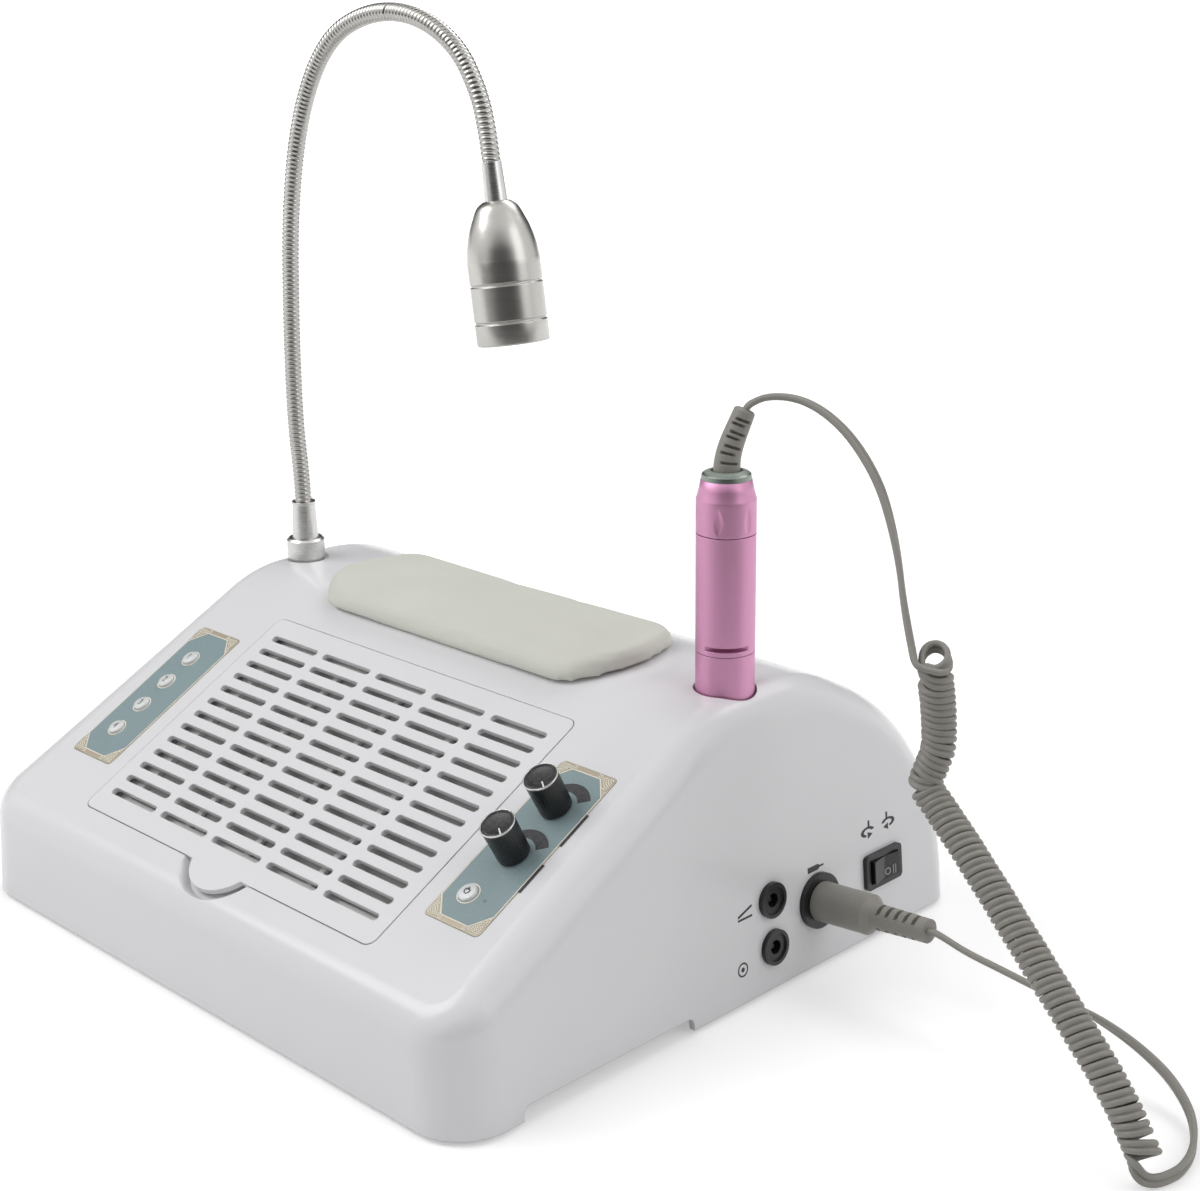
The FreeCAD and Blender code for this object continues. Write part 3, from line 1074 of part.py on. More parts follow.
grommet = on_tool(ring("grommet", d.end_ring_bore, d.strain_relief_radius + d.snug, ring_low - d.grommet_height,
                       ring_low + 0.6))
node(group("relief_and_grommet", relief, grommet), "strain_relief")

# Motor plug: one moulding with its slotted relief, and five pins
plug_low = d.socket_flange_thickness + d.soft_gap
plug_end = d.plug_length + d.plug_relief_length
nose_end = plug_low - d.plug_nose_length
moulding = turned("plug_moulding", [
    (0, nose_end), (d.plug_nose_radius, nose_end), (d.plug_nose_radius, plug_low), (d.plug_radius, plug_low),
    (d.plug_radius, d.plug_length - 3), (d.plug_relief_radius, d.plug_length), (d.plug_relief_end, plug_end),
    (0, plug_end)])
slot_pitch = (d.plug_relief_length - 4) / PLUG_SLOTS
slots = []
for i in range(PLUG_SLOTS):
    low = d.plug_length + 2.5 + slot_pitch * i
    for side in (-1, 1):
        inner = side * (d.lead_radius + 0.8)
        outer = side * d.plug_radius
        x0, x1 = (inner, outer) if side > 0 else (outer, inner)
        slots.append(block(f"plug_slot_{i}_{'r' if side > 0 else 'l'}", x0, x1, -d.plug_radius, d.plug_radius, low,
                           low + slot_pitch * 0.4))
pin_set = on_side(group("plug_pin_set", *[
    rod(f"plug_pin_{i}", d.plug_pin_radius, nose_end - d.plug_pin_length, nose_end, x, y)
    for i, (x, y) in enumerate(pin_places)]), d.socket_y, d.socket_z)
node(group("plug", on_side(cut("slotted_plug", moulding, *slots), d.socket_y, d.socket_z), pin_set), "motor_plug")

# Cord: a lead from the handpiece, one fat tube for the curl, and a lead to the plug
def points(*places):
    return [Vector(*place) for place in places]


lean = math.radians(d.strain_relief_lean.value)
lean_way = Vector(math.cos(heading) * math.sin(lean), math.sin(heading) * math.sin(lean), math.cos(lean))
relief_tip = Vector(d.tool_x.value, d.crown_row.value, d.strain_relief_foot.value) \
    + lean_way * d.strain_relief_length.value
curl = points((229.3, 27.8, 158.9), (229.6, 28.9, 145), (230.6, 30.5, 130.2), (230.2, 29.6, 119), (227.5, 27.2, 107.6),
              (237.5, 26.5, 99.5), (256.6, 21.8, 85.6), (284.5, 15.8, 62.7), (308.4, 11.6, 42.8), (324.1, 10, 27.1),
              (332.1, 9.3, 14.8), (337, 9.6, 6.9))
wire_offset = d.curl_radius.value - d.lead_radius.value
curl_start = (curl[1] - curl[0]).normalize()
offset = Vector(-1, -1, 0)
offset = (offset - curl_start * offset.dot(curl_start)).normalize() * wire_offset
upper_end = curl[0] + offset
upper = [relief_tip, relief_tip + lean_way * 4] + points(
    (139.5, 38.4, 237), (145, 41.5, 237), (155.6, 45.2, 235), (172.9, 46.2, 226.7), (192.2, 42.8, 209.1),
    (207.7, 34.1, 186.2)) + [upper_end - curl_start * 14, upper_end]
node(tube("upper_lead_tube", upper, d.lead_radius), "upper_lead")
node(tube("curl_tube", curl, d.curl_radius), "curly_cord")
curl_way = (curl[-1] - curl[-2]).normalize()
lower_end = curl[-1] + Vector(-curl_way.z, 0, curl_way.x).normalize() * wire_offset
side_lean = math.radians(d.side_draft.value)
plug_way = Vector(math.cos(side_lean), 0, math.sin(side_lean))
plug_tip = Vector(wall_x(d.socket_z).value, d.socket_y.value, d.socket_z.value) + plug_way * plug_end.value
table = 1.1 * d.lead_radius.value
lower = [plug_tip, plug_tip + plug_way * 6] + points(
    (245, 55.2, 30), (269.6, 58.1, 25.5), (294.3, 63.3, 17.5), (315.6, 60.6, 9.5), (327.2, 53.2, 5.5), (334.5, 44, 3.2),
    (341, 32, table), (344.5, 19, table)) + [lower_end + curl_way * 6, lower_end]
node(tube("lower_lead_tube", lower, d.lead_radius), "lower_lead")

doc.recompute()
os.makedirs("parts", exist_ok=True)
faults = [thing.Name for thing in doc.Objects if {"Invalid", "Error"} & set(thing.State)]
for thing in nodes:
    if thing.Shape.isNull() or not thing.Shape.isValid():
        faults.append(thing.Label)
if faults:
    raise RuntimeError("not built: " + ", ".join(faults))
for thing in nodes:
    thing.Shape.exportStep(f"parts/{thing.Label}.step")
print(len(nodes), "nodes")
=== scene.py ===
# %% [markdown]
# # Dressing a manicure machine
#
# The machine is a nail dust collector with a drill handpiece, a goose-neck lamp and a hand rest. Its hard
# shapes come ready made from the CAD model. This lesson adds what CAD does not draw well: the flat curly
# cord, the wound neck, the padded rest, the thin prints and the surface of every material.
#
# Everything is in metres, in the same frame as the CAD: X to the right, Y to the back, Z up, with the origin
# on the table under the middle of the machine.

# %% Load the machine
import math
import bpy
from mathutils import Matrix, Vector


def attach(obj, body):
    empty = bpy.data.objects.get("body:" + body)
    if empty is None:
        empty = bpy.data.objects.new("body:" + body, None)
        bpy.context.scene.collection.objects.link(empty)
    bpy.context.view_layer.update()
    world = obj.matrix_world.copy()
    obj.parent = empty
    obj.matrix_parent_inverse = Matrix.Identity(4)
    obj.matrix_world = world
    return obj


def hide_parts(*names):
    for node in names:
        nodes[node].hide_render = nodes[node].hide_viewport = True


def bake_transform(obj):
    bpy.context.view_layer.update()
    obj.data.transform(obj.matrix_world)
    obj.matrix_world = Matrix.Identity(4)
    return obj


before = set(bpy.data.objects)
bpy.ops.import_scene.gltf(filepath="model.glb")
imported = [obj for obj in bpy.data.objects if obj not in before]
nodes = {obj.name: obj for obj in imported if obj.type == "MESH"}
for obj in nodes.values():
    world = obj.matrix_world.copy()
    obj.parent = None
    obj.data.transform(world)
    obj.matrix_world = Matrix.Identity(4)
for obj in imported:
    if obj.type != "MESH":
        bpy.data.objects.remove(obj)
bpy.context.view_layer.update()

# %% [markdown]
# ## Places on the machine
#
# The photograph was measured in millimetres, so places are written in millimetres and turned into metres by
# one helper. The sloping front has its own frame: x across, s up the slope and w out of it. A print or a
# knob written in that frame stays flat on the slope whatever the slope is.

# %% Millimetres, the slope and the side wall
def mm(x, y, z):
    return Vector((x, y, z)) / 1000


def frame_at(place, across, up, out):
    """A frame as a matrix, from its place in metres and its three directions."""
    return Matrix.Translation(place) @ Matrix((across, up, out)).transposed().to_4x4()


slope_middle = Vector((0, -71.117, 81.483))
slope_up = Vector((0, 0.88146, 0.47225))
slope_out = Vector((0, -0.47225, 0.88146))
wall_foot_x, wall_foot_z, wall_lean = 160, 2, math.radians(5)
wall_up = Vector((-math.sin(wall_lean), 0, math.cos(wall_lean)))
wall_out = Vector((math.cos(wall_lean), 0, math.sin(wall_lean)))


def on_slope(x, s, w):
    """A frame on the slope at x, s and w: its X is across, its Y up the slope and its Z out of it."""
    place = (slope_middle + slope_up * s + slope_out * w + Vector((x, 0, 0))) / 1000
    return frame_at(place, Vector((1, 0, 0)), slope_up, slope_out)


def on_wall(y, z):
    """A frame on the right wall: its X runs to the back, its Y up the wall and its Z out of it."""
    x = wall_foot_x - (z - wall_foot_z) * math.tan(wall_lean)
    return frame_at(mm(x, y, z), Vector((0, 1, 0)), wall_up, wall_out)


print("slope frame at the left panel:", [round(v, 4) for v in on_slope(-118.5, 1.3, 0).translation])

# %% [markdown]
# ## The camera
#
# The photograph was taken from the front right, a little above the machine. Its place was found by matching
# corners of the housing, the slots of the grille and the wall sockets. The camera's three axes are built by
# hand: where it looks from, which way is right, and which way is up after a roll of half a degree.

# %% Place the camera
azimuth, elevation, roll = math.radians(44.99), math.radians(17.46), math.radians(-0.65)
away = math.cos(elevation)
back = Vector((math.sin(azimuth) * away, -math.cos(azimuth) * away, math.sin(elevation)))
level = Vector((math.cos(azimuth), math.sin(azimuth), 0))
upright = back.cross(level)
right = level * math.cos(roll) + upright * math.sin(roll)
upward = upright * math.cos(roll) - level * math.sin(roll)
camera = bpy.data.objects.new("photo_camera", bpy.data.cameras.new("photo_camera"))
bpy.context.scene.collection.objects.link(camera)
camera.matrix_world = frame_at(mm(633.4, -543.1, 398.0), right, upward, back)
camera.data.sensor_width = 36
camera.data.lens = 62.10
camera.data.clip_start = 0.01
bpy.context.scene.camera = camera
print("camera at", [round(v, 3) for v in camera.location])

# %% [markdown]
# ## Room and light
#
# The machine stands in a white studio. The floor is pale, and camera rays see it white while it still takes
# the machine's shadow. The world is white to the camera as well. Satin metal needs something dark to
# reflect, or it looks like paint, so rays that bounce off a gloss see the camera's side of the room and of
# the floor unlit, as in a real studio, and a dim patch behind the machine.

# %% Node helpers, floor and world
def put(tree, kind, inputs=None, **settings):
    """Adds a shader node, sets it up, and wires or sets its inputs by name."""
    node = tree.nodes.new("ShaderNode" + kind)
    for name, value in settings.items():
        setattr(node, name, value)
    for name, value in (inputs or {}).items():
        if isinstance(value, bpy.types.NodeSocket):
            tree.links.new(value, node.inputs[name])
        else:
            node.inputs[name].default_value = value
    return node


def calc(tree, operation, *values):
    return put(tree, "Math", dict(enumerate(values)), operation=operation).outputs[0]


def dot(tree, one, other):
    return put(tree, "VectorMath", {0: one, 1: other}, operation="DOT_PRODUCT").outputs["Value"]


def remap(tree, value, low, high, to_low=0.0, to_high=1.0, kind="LINEAR"):
    """Moves a value from one range to another, and stops it at the ends."""
    ranges = {"Value": value, "From Min": low, "From Max": high, "To Min": to_low, "To Max": to_high}
    return put(tree, "MapRange", ranges, interpolation_type=kind).outputs[0]


def mix(tree, share, one, other):
    return put(tree, "MixRGB", {"Fac": share, "Color1": one, "Color2": other}).outputs[0]


def noise(tree, place, scale, detail):
    return put(tree, "TexNoise", {"Vector": place, "Scale": scale, "Detail": detail}).outputs["Fac"]


def blank(name):
    """A new material with nothing but an output. Gives the material, its tree and the output's socket."""
    material = bpy.data.materials.new(name)
    material.use_nodes = True
    material.node_tree.nodes.clear()
    return material, material.node_tree, material.node_tree.nodes.new("ShaderNodeOutputMaterial").inputs[0]


def seen_rays(tree):
    """1 for rays that look at the room: from the camera, off a gloss or through glass."""
    ray = put(tree, "LightPath").outputs
    gloss = calc(tree, "MAXIMUM", ray["Is Camera Ray"], ray["Is Glossy Ray"])
    return ray, calc(tree, "MAXIMUM", gloss, ray["Is Transmission Ray"])


floor_paint, tree, out = blank("floor_paint")
ray, seen = seen_rays(tree)
grain = put(tree, "TexNoise", {"Scale": 6.0, "Detail": 3.0}).outputs["Fac"]
tone = mix(tree, grain, (0.80, 0.80, 0.80, 1), (0.82, 0.82, 0.82, 1))
place = put(tree, "NewGeometry").outputs["Position"]
unlit = remap(tree, dot(tree, place, (0.707, -0.707, 0.0)), 0.3, 0.8, 0.0, 0.9, "SMOOTHSTEP")
hidden = calc(tree, "MULTIPLY", unlit, ray["Is Glossy Ray"])
matt = put(tree, "BsdfDiffuse", {"Color": mix(tree, hidden, tone, (0, 0, 0, 1))}).outputs[0]
far = put(tree, "VectorMath", {0: place}, operation="LENGTH").outputs["Value"]
white = remap(tree, far, 0.5, 2.6, 0.36, 1.0, "SMOOTHSTEP")
shown = calc(tree, "MULTIPLY", seen, calc(tree, "SUBTRACT", 1.0, hidden))
lift = put(tree, "Emission", {"Color": (1, 1, 1, 1), "Strength": calc(tree, "MULTIPLY", shown, white)}).outputs[0]
tree.links.new(put(tree, "AddShader", {0: matt, 1: lift}).outputs[0], out)

half_floor = 60
floor_mesh = bpy.data.meshes.new("floor")
floor_mesh.from_pydata([(x * half_floor, y * half_floor, 0) for x, y in ((-1, -1), (1, -1), (1, 1), (-1, 1))], [],
                       [(0, 1, 2, 3)])
floor_mesh.materials.append(floor_paint)
floor = bpy.data.objects.new("floor", floor_mesh)
bpy.context.scene.collection.objects.link(floor)

world = bpy.data.worlds.new("white_room")
bpy.context.scene.world = world
world.use_nodes = True
tree = world.node_tree
tree.nodes.clear()
ray, seen = seen_rays(tree)
toward = dot(tree, put(tree, "TexCoord").outputs["Generated"], (0.68, -0.68, -0.28))
dim = remap(tree, calc(tree, "ABSOLUTE", toward), 0.48, 0.78, 1.0, 0.06, "SMOOTHSTEP")
room = calc(tree, "MAXIMUM", dim, ray["Is Camera Ray"])
power = mix(tree, seen, calc(tree, "MULTIPLY", dim, 0.67), room)
backdrop = put(tree, "Background", {"Color": power}).outputs[0]
tree.links.new(backdrop, tree.nodes.new("ShaderNodeOutputWorld").inputs[0])
print("floor and world are ready")

# %% [markdown]
# Three broad area lamps stand in for softboxes. The key hangs high at the front left, the fill is on the
# right, and the third one brightens the top from behind, which parts the white crown from the white room.

# %% Three softboxes
lamp_aim = Vector((0, 0, 0.1))
for name, place, size, watts in (("key_softbox", (-0.9, -0.9, 1.5), (1.1, 1.1), 13),
                                 ("fill_softbox", (1.5, 0.4, 1.0), (0.9, 1.2), 3.6),
                                 ("top_softbox", (-0.2, 1.1, 1.4), (1.4, 0.7), 8.5)):
    lamp = bpy.data.lights.new(name, "AREA")
    lamp.shape, lamp.size, lamp.size_y, lamp.energy = "RECTANGLE", size[0], size[1], watts
    piece = bpy.data.objects.new(name, lamp)
    piece.location = place
    piece.rotation_euler = (lamp_aim - Vector(place)).to_track_quat("-Z", "Y").to_euler()
    bpy.context.scene.collection.objects.link(piece)
bpy.context.scene.view_settings.view_transform = "Standard"

# ## Mesh helpers
#
# Most pieces here are one of three things: a line swept by a section, a profile turned about an axis, or a
# thin shape cut from sheet. One helper makes each, and all of them put their mesh into the scene in one way.

# %% Sweep and turn
def added(name, mesh, body):
    """Puts a mesh into the scene as a piece that rides on its body."""
    piece = bpy.data.objects.new(name, mesh)
    bpy.context.scene.collection.objects.link(piece)
    if body:
        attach(piece, body)
    return piece


def piece_from(name, points, faces, material, body, slot):
    mesh = bpy.data.meshes.new(name)
    mesh.from_pydata([tuple(p) for p in points], [], faces)
    mesh.update()
    mesh.shade_smooth()
    if material:
        mesh.materials.append(material)
    return added(name, mesh, body)


def read_mesh(name, curve):
    """A curve or a text as the mesh that Blender makes of it."""
    holder = bpy.data.objects.new(name, curve)
    bpy.context.scene.collection.objects.link(holder)
    bpy.context.view_layer.update()
    mesh = bpy.data.meshes.new_from_object(holder)
    bpy.data.objects.remove(holder)
    return mesh


def nurbs_line(name, points, resolution):
    """Points read from one smooth order 3 NURBS spline through the room, made from its control points."""
    curve = bpy.data.curves.new(name, "CURVE")
    curve.dimensions = "3D"
    spline = curve.splines.new("NURBS")
    spline.points.add(len(points) - 1)
    for point, place in zip(spline.points, points):
        point.co = (*place, 1)
    spline.order_u, spline.use_endpoint_u, spline.resolution_u = 3, True, resolution
    return [v.co.copy() for v in read_mesh(name, curve).vertices]


def tangents(line):
    last = len(line) - 1
    return [(line[min(i + 1, last)] - line[max(i - 1, 0)]).normalized() for i in range(last + 1)]


def carried_frames(line, first):
    """Two directions square to the line at each point, carried along it with as little twist as can be."""
    frames, side = [], Vector(first)
    for way in tangents(line):
        side = (side - way * side.dot(way)).normalized()
        frames.append((way, side, side.cross(way)))
    return frames


def round_angles(steps):
    return [2 * math.pi * j / steps for j in range(steps)]


def swept(line, first, steps, radius_at, reach=0.0):
    """Rings around a line, with radius_at(angle, reach) in millimetres, and how far along the line they end."""
    rings = []
    for k, (way, side, other) in enumerate(carried_frames(line, first)):
        reach += (line[k] - line[k - 1]).length * 1000 if k else 0
        rings.append([line[k] + (side * math.cos(a) - other * math.sin(a)) * (radius_at(a, reach) / 1000)
                      for a in round_angles(steps)])
    return rings, reach


def tube_mesh(rings, hollow=False):
    """Points and faces of a tube through rings of equal count, with both ends shut, or else joined to each other."""
    count, many = len(rings[0]), len(rings)
    faces = []
    for i in range(many if hollow else many - 1):
        here, after = i * count, (i + 1) % many * count
        faces += [(here + j, here + (j + 1) % count, after + (j + 1) % count, after + j) for j in range(count)]
    if not hollow:
        faces += [tuple(reversed(range(count))), tuple((many - 1) * count + j for j in range(count))]
    return [p for ring in rings for p in ring], faces


def turned(name, profile, place, material, body, slot, steps=96, hollow=False, press=None):
    """A profile turned about the Z of place, a ring where it is hollow. Its points are (radius, height) in
    millimetres, or (radius, height, share), where share is how much of press(angle, height) comes off the radius."""
    rings = []
    for r, z, *share in profile:
        radii = [(a, r - share[0] * press(a, z) if share else r) for a in round_angles(steps)]
        rings.append([place @ mm(radius * math.cos(a), radius * math.sin(a), z) for a, radius in radii])
    return piece_from(name, *tube_mesh(rings, hollow), material, body, slot)


def length_of(line):
    return sum((b - a).length for a, b in zip(line, line[1:]))


def even_line(line, step):
    """The same line with points at even distances, in millimetres."""
    even, left = [line[0]], step
    for a, b in zip(line, line[1:]):
        gap = (b - a).length * 1000
        while left <= gap:
            even.append(a.lerp(b, left / gap))
            left += step
        left -= gap
    return even


print("helpers ready")

# %% [markdown]
# ## Surfaces that many materials share
#
# Real surfaces are never one flat colour. Moulded plastic has a faint cloudiness and the skin of its mould,
# turned metal has fine rings, and every hard edge is slightly round and catches light. Each of these is a
# shader node group with its own inputs, built once here and placed in each material with its own values.
# The groups only put out colours, values and normals. The shader itself stays in the material.

# %% A helper that builds a shader node group
def shader_group(name, inputs, outputs):
    """A new group with named sockets, a tuple for a colour and a number for a value. Gives its tree, its inputs
    and a function that wires its outputs by name."""
    tree = bpy.data.node_groups.new(name, "ShaderNodeTree")
    for socket, value in inputs.items():
        kind = "NodeSocketColor" if isinstance(value, tuple) else "NodeSocketFloat"
        tree.interface.new_socket(socket, in_out="INPUT", socket_type=kind).default_value = value
    for socket, kind in outputs.items():
        tree.interface.new_socket(socket, in_out="OUTPUT", socket_type="NodeSocket" + kind)
    inside, outside = tree.nodes.new("NodeGroupInput").outputs, tree.nodes.new("NodeGroupOutput").inputs

    def give(**values):
        for socket, value in values.items():
            tree.links.new(value, outside[socket])
    return tree, inside, give


def use_group(tree, group, inputs):
    return put(tree, "Group", inputs, node_tree=group).outputs


def swing(tree, value, spread, middle):
    """A noise's 0.3 to 0.7 as a swing of a given spread about a middle value."""
    return calc(tree, "MULTIPLY_ADD", remap(tree, value, 0.3, 0.7, -0.5, 0.5), spread, middle)


def paint(r, g, b):
    """A colour read off a picture as 0 to 255 numbers, as the linear light that Blender works in."""
    return tuple(((c / 255 + 0.055) / 1.055) ** 2.4 if c > 10 else c / 255 / 12.92 for c in (r, g, b)) + (1.0,)


# %% [markdown]
# **Moulded skin.** Plastic flows into its mould and cools unevenly, so its colour is a little cloudy over
# some centimetres, and its surface carries the fine texture of the mould. Noise at two scales gives both:
# a broad one for the colour and the gloss, and a fine one for the height.

# %% Group: moulded skin
moulded_skin, i, give = shader_group("moulded_skin", {
    "Colour": (0.8, 0.8, 0.8, 1), "Cloud colour": (0.7, 0.7, 0.7, 1), "Cloud size": 22.0,
    "Roughness": 0.3, "Roughness spread": 0.06, "Grain": 900.0},
    {"Colour": "Color", "Roughness": "Float", "Height": "Float"})
here = put(moulded_skin, "TexCoord").outputs["Object"]
cloud = noise(moulded_skin, here, i["Cloud size"], 2.0)
patch = noise(moulded_skin, here, 75.0, 4.0)
give(Colour=mix(moulded_skin, cloud, i["Colour"], i["Cloud colour"]),
     Roughness=swing(moulded_skin, patch, i["Roughness spread"], i["Roughness"]),
     Height=noise(moulded_skin, here, i["Grain"], 2.0))
print("moulded_skin has", len(moulded_skin.nodes), "nodes")

# %% [markdown]
# ** Soft edge.** No moulded or turned part has a razor edge. The Bevel node looks up the normals of the faces
# around a point, so it rounds every edge of a CAD part for the light without touching its mesh. Where the
# rounded normal leaves the flat one, the colour is lightened toward a brighter edge colour in patches: partly
# wear and partly a painted edge highlight.

# %% Group: soft edge
soft_edge, i, give = shader_group("soft_edge", {
    "Radius": 0.0004, "Height": 0.5, "Depth": 0.00002, "Colour": (0.8, 0.8, 0.8, 1),
    "Edge highlight colour": (0.9, 0.9, 0.9, 1), "Rub": 0.4}, {"Normal": "Vector", "Colour": "Color"})
rounded = put(soft_edge, "Bevel", {"Radius": i["Radius"]}, samples=6).outputs[0]
same = dot(soft_edge, rounded, put(soft_edge, "NewGeometry").outputs["Normal"])
edge = remap(soft_edge, same, 0.995, 0.86)
patches = noise(soft_edge, put(soft_edge, "TexCoord").outputs["Object"], 160.0, 3.0)
# Painted edge highlight, partly wear: a lighter edge colour mixed in where the bevel mask meets the noise patches.
highlight_and_wear_mask = calc(soft_edge, "MULTIPLY", edge, calc(soft_edge, "MULTIPLY", patches, i["Rub"]))
give(Normal=put(soft_edge, "Bump", {"Strength": 1.0, "Distance": i["Depth"], "Height": i["Height"],
                                    "Normal": rounded}).outputs[0],
     Colour=mix(soft_edge, highlight_and_wear_mask, i["Colour"], i["Edge highlight colour"]))
print("soft_edge has", len(soft_edge.nodes), "nodes")

# %% [markdown]
# **Turning marks.** Metal that came off a lathe keeps fine rings around its axis. Noise whose coordinates
# are squeezed along one direction and stretched along the other two becomes rings, and they vary both the
# gloss and the height. **Settled dust** lies on whatever faces up. This machine is new, so it is faint.

# %% Groups: turning marks and settled dust
turning_marks, i, give = shader_group("turning_marks", {
    "Rings per metre": 2500.0, "Roughness": 0.3, "Spread": 0.15, "Colour": (0.8, 0.8, 0.8, 1),
    "Dull colour": (0.7, 0.7, 0.7, 1)}, {"Colour": "Color", "Roughness": "Float", "Height": "Float"})
here = put(turning_marks, "TexCoord").outputs["Object"]
squeeze = put(turning_marks, "CombineXYZ", {"X": 12.0, "Y": 12.0, "Z": i["Rings per metre"]}).outputs[0]
along = put(turning_marks, "VectorMath", {0: here, 1: squeeze}, operation="MULTIPLY").outputs[0]
rings = noise(turning_marks, along, 1.0, 3.0)
smear = noise(turning_marks, here, 60.0, 3.0)
give(Colour=mix(turning_marks, smear, i["Colour"], i["Dull colour"]),
     Roughness=swing(turning_marks, rings, i["Spread"], i["Roughness"]), Height=rings)

settled_dust, i, give = shader_group("settled_dust", {
    "Colour": (0.8, 0.8, 0.8, 1), "Dust colour": (0.75, 0.73, 0.7, 1), "Amount": 0.1, "Roughness": 0.3},
    {"Colour": "Color", "Roughness": "Float"})
normal = put(settled_dust, "NewGeometry").outputs["Normal"]
lying = remap(settled_dust, put(settled_dust, "SeparateXYZ", {0: normal}).outputs["Z"], 0.2, 0.95)
specks = noise(settled_dust, put(settled_dust, "TexCoord").outputs["Object"], 900.0, 5.0)
settled = calc(settled_dust, "MULTIPLY", lying, remap(settled_dust, specks, 0.45, 0.75))
mask = calc(settled_dust, "MULTIPLY", settled, i["Amount"])
give(Colour=mix(settled_dust, mask, i["Colour"], i["Dust colour"]),
     Roughness=calc(settled_dust, "MULTIPLY_ADD", mask, 0.5, i["Roughness"]))
print("groups:", sorted(g.name for g in bpy.data.node_groups))

# %% [markdown]
# ## Plastics
#
# Every plastic part runs the same way through the groups: moulded skin gives the cloudy colour, soft edge
# rounds the edges and paints a highlight on them, settled dust falls on top, and the result drives one
# Principled shader.

# %% Plastic, rubber and moulded parts
def plastic(name, colour, cloud, roughness, spread=0.06, grain=900.0, depth=0.00002, edge=0.0004, rub=0.3, dust=0.08,
            cloud_size=22.0, transmission=0.0):
    """A moulded material. Colours are three 0 to 255 numbers, or four in linear light."""
    colour, cloud = (paint(*c) if len(c) == 3 else c for c in (colour, cloud))
    material, tree, out = blank(name)
    skin = use_group(tree, moulded_skin, {"Colour": colour, "Cloud colour": cloud, "Cloud size": cloud_size,
                                          "Roughness": roughness, "Roughness spread": spread, "Grain": grain})
    # Painted edge highlight: the edge colour is a lighter copy of the plastic's own colour.
    brighter = tuple(min(1, c * 1.15 + 0.02) for c in colour[:3]) + (1,)
    rim = use_group(tree, soft_edge, {"Radius": edge, "Height": skin["Height"], "Depth": depth,
                                      "Colour": skin["Colour"], "Edge highlight colour": brighter, "Rub": rub})
    top = use_group(tree, settled_dust, {"Colour": rim["Colour"], "Amount": dust, "Roughness": skin["Roughness"]})
    body = put(tree, "BsdfPrincipled", {"Base Color": top["Colour"], "Roughness": top["Roughness"],
                                        "Normal": rim["Normal"], "Transmission Weight": transmission})
    tree.links.new(body.outputs[0], out)
    return material


shell_white, shell_cloud = (0.80, 0.80, 0.82, 1), (0.785, 0.785, 0.80, 1)
white_shell = plastic("white_shell", shell_white, shell_cloud, 0.24, 0.05, 500.0, 0.000008, 0.0007, dust=0.03)
white_grille = plastic("white_grille", shell_white, shell_cloud, 0.30, 0.05, 700.0, 0.00001, 0.0005, dust=0.05)
base_grey = plastic("base_grey", (214, 214, 214), (205, 205, 206), 0.45)
foot_rubber = plastic("foot_rubber", (40, 40, 42), (52, 52, 53), 0.7, grain=1400.0, depth=0.00005)
filter_board = plastic("filter_board", (226, 226, 224), (216, 216, 214), 0.5)
# The tray's pale grey is partly painted light: it is lighter than the tray itself, which lifts the shade seen through
# the grille's slots.
tray_plastic = plastic("tray_plastic", (205, 205, 205), (192, 192, 194), 0.45)
fan_plastic = plastic("fan_plastic", (34, 34, 36), (44, 44, 46), 0.42)
jack_plastic = plastic("jack_plastic", (16, 16, 17), (24, 24, 25), 0.36, edge=0.0003)
switch_plastic = plastic("switch_plastic", (24, 24, 26), (34, 34, 36), 0.3, edge=0.0003, rub=0.5)
knob_plastic = plastic("knob_plastic", (22, 22, 23), (32, 32, 33), 0.28, edge=0.0002, rub=0.4)
cup_plastic = plastic("cup_plastic", (232, 232, 234), (224, 224, 226), 0.35)
cord_grey = plastic("cord_grey", (147, 144, 137), (136, 133, 127), 0.46, 0.08, 1600.0, edge=0.0002, dust=0.05,
                    cloud_size=40.0)
print("plastics:", len(bpy.data.materials))


# %% [markdown]
# ## Metals
#
# Most metals keep a Metallic of 1. Their colour is the colour of the reflection, and what tells satin from chrome
# is the roughness. The pink handpiece is anodised aluminium: the dye sits in a thin clear layer on the metal.

# %% Metals
def metal(name, colour, dull, roughness, spread=0.12, rings=2500.0, depth=0.000004, edge=0.0003, rub=0.5,
          metallic=1.0, edge_highlight_colour=(0.95, 0.95, 0.95, 1)):
    """A turned material. Colours are three 0 to 255 numbers, or four in linear light."""
    colour, dull, edge_highlight_colour = (paint(*c) if len(c) == 3 else c for c in (colour, dull, edge_highlight_colour))
    material, tree, out = blank(name)
    marks = use_group(tree, turning_marks, {"Rings per metre": rings, "Roughness": roughness, "Spread": spread,
                                            "Colour": colour, "Dull colour": dull})
    # Painted edge highlight: the edge colour, near white by default, is mixed in at the edges.
    rim = use_group(tree, soft_edge, {"Radius": edge, "Height": marks["Height"], "Depth": depth,
                                      "Colour": marks["Colour"], "Edge highlight colour": edge_highlight_colour, "Rub": rub})
    body = put(tree, "BsdfPrincipled", {"Base Color": rim["Colour"], "Roughness": marks["Roughness"],
                                        "Normal": rim["Normal"], "Metallic": metallic})
    tree.links.new(body.outputs[0], out)
    return material


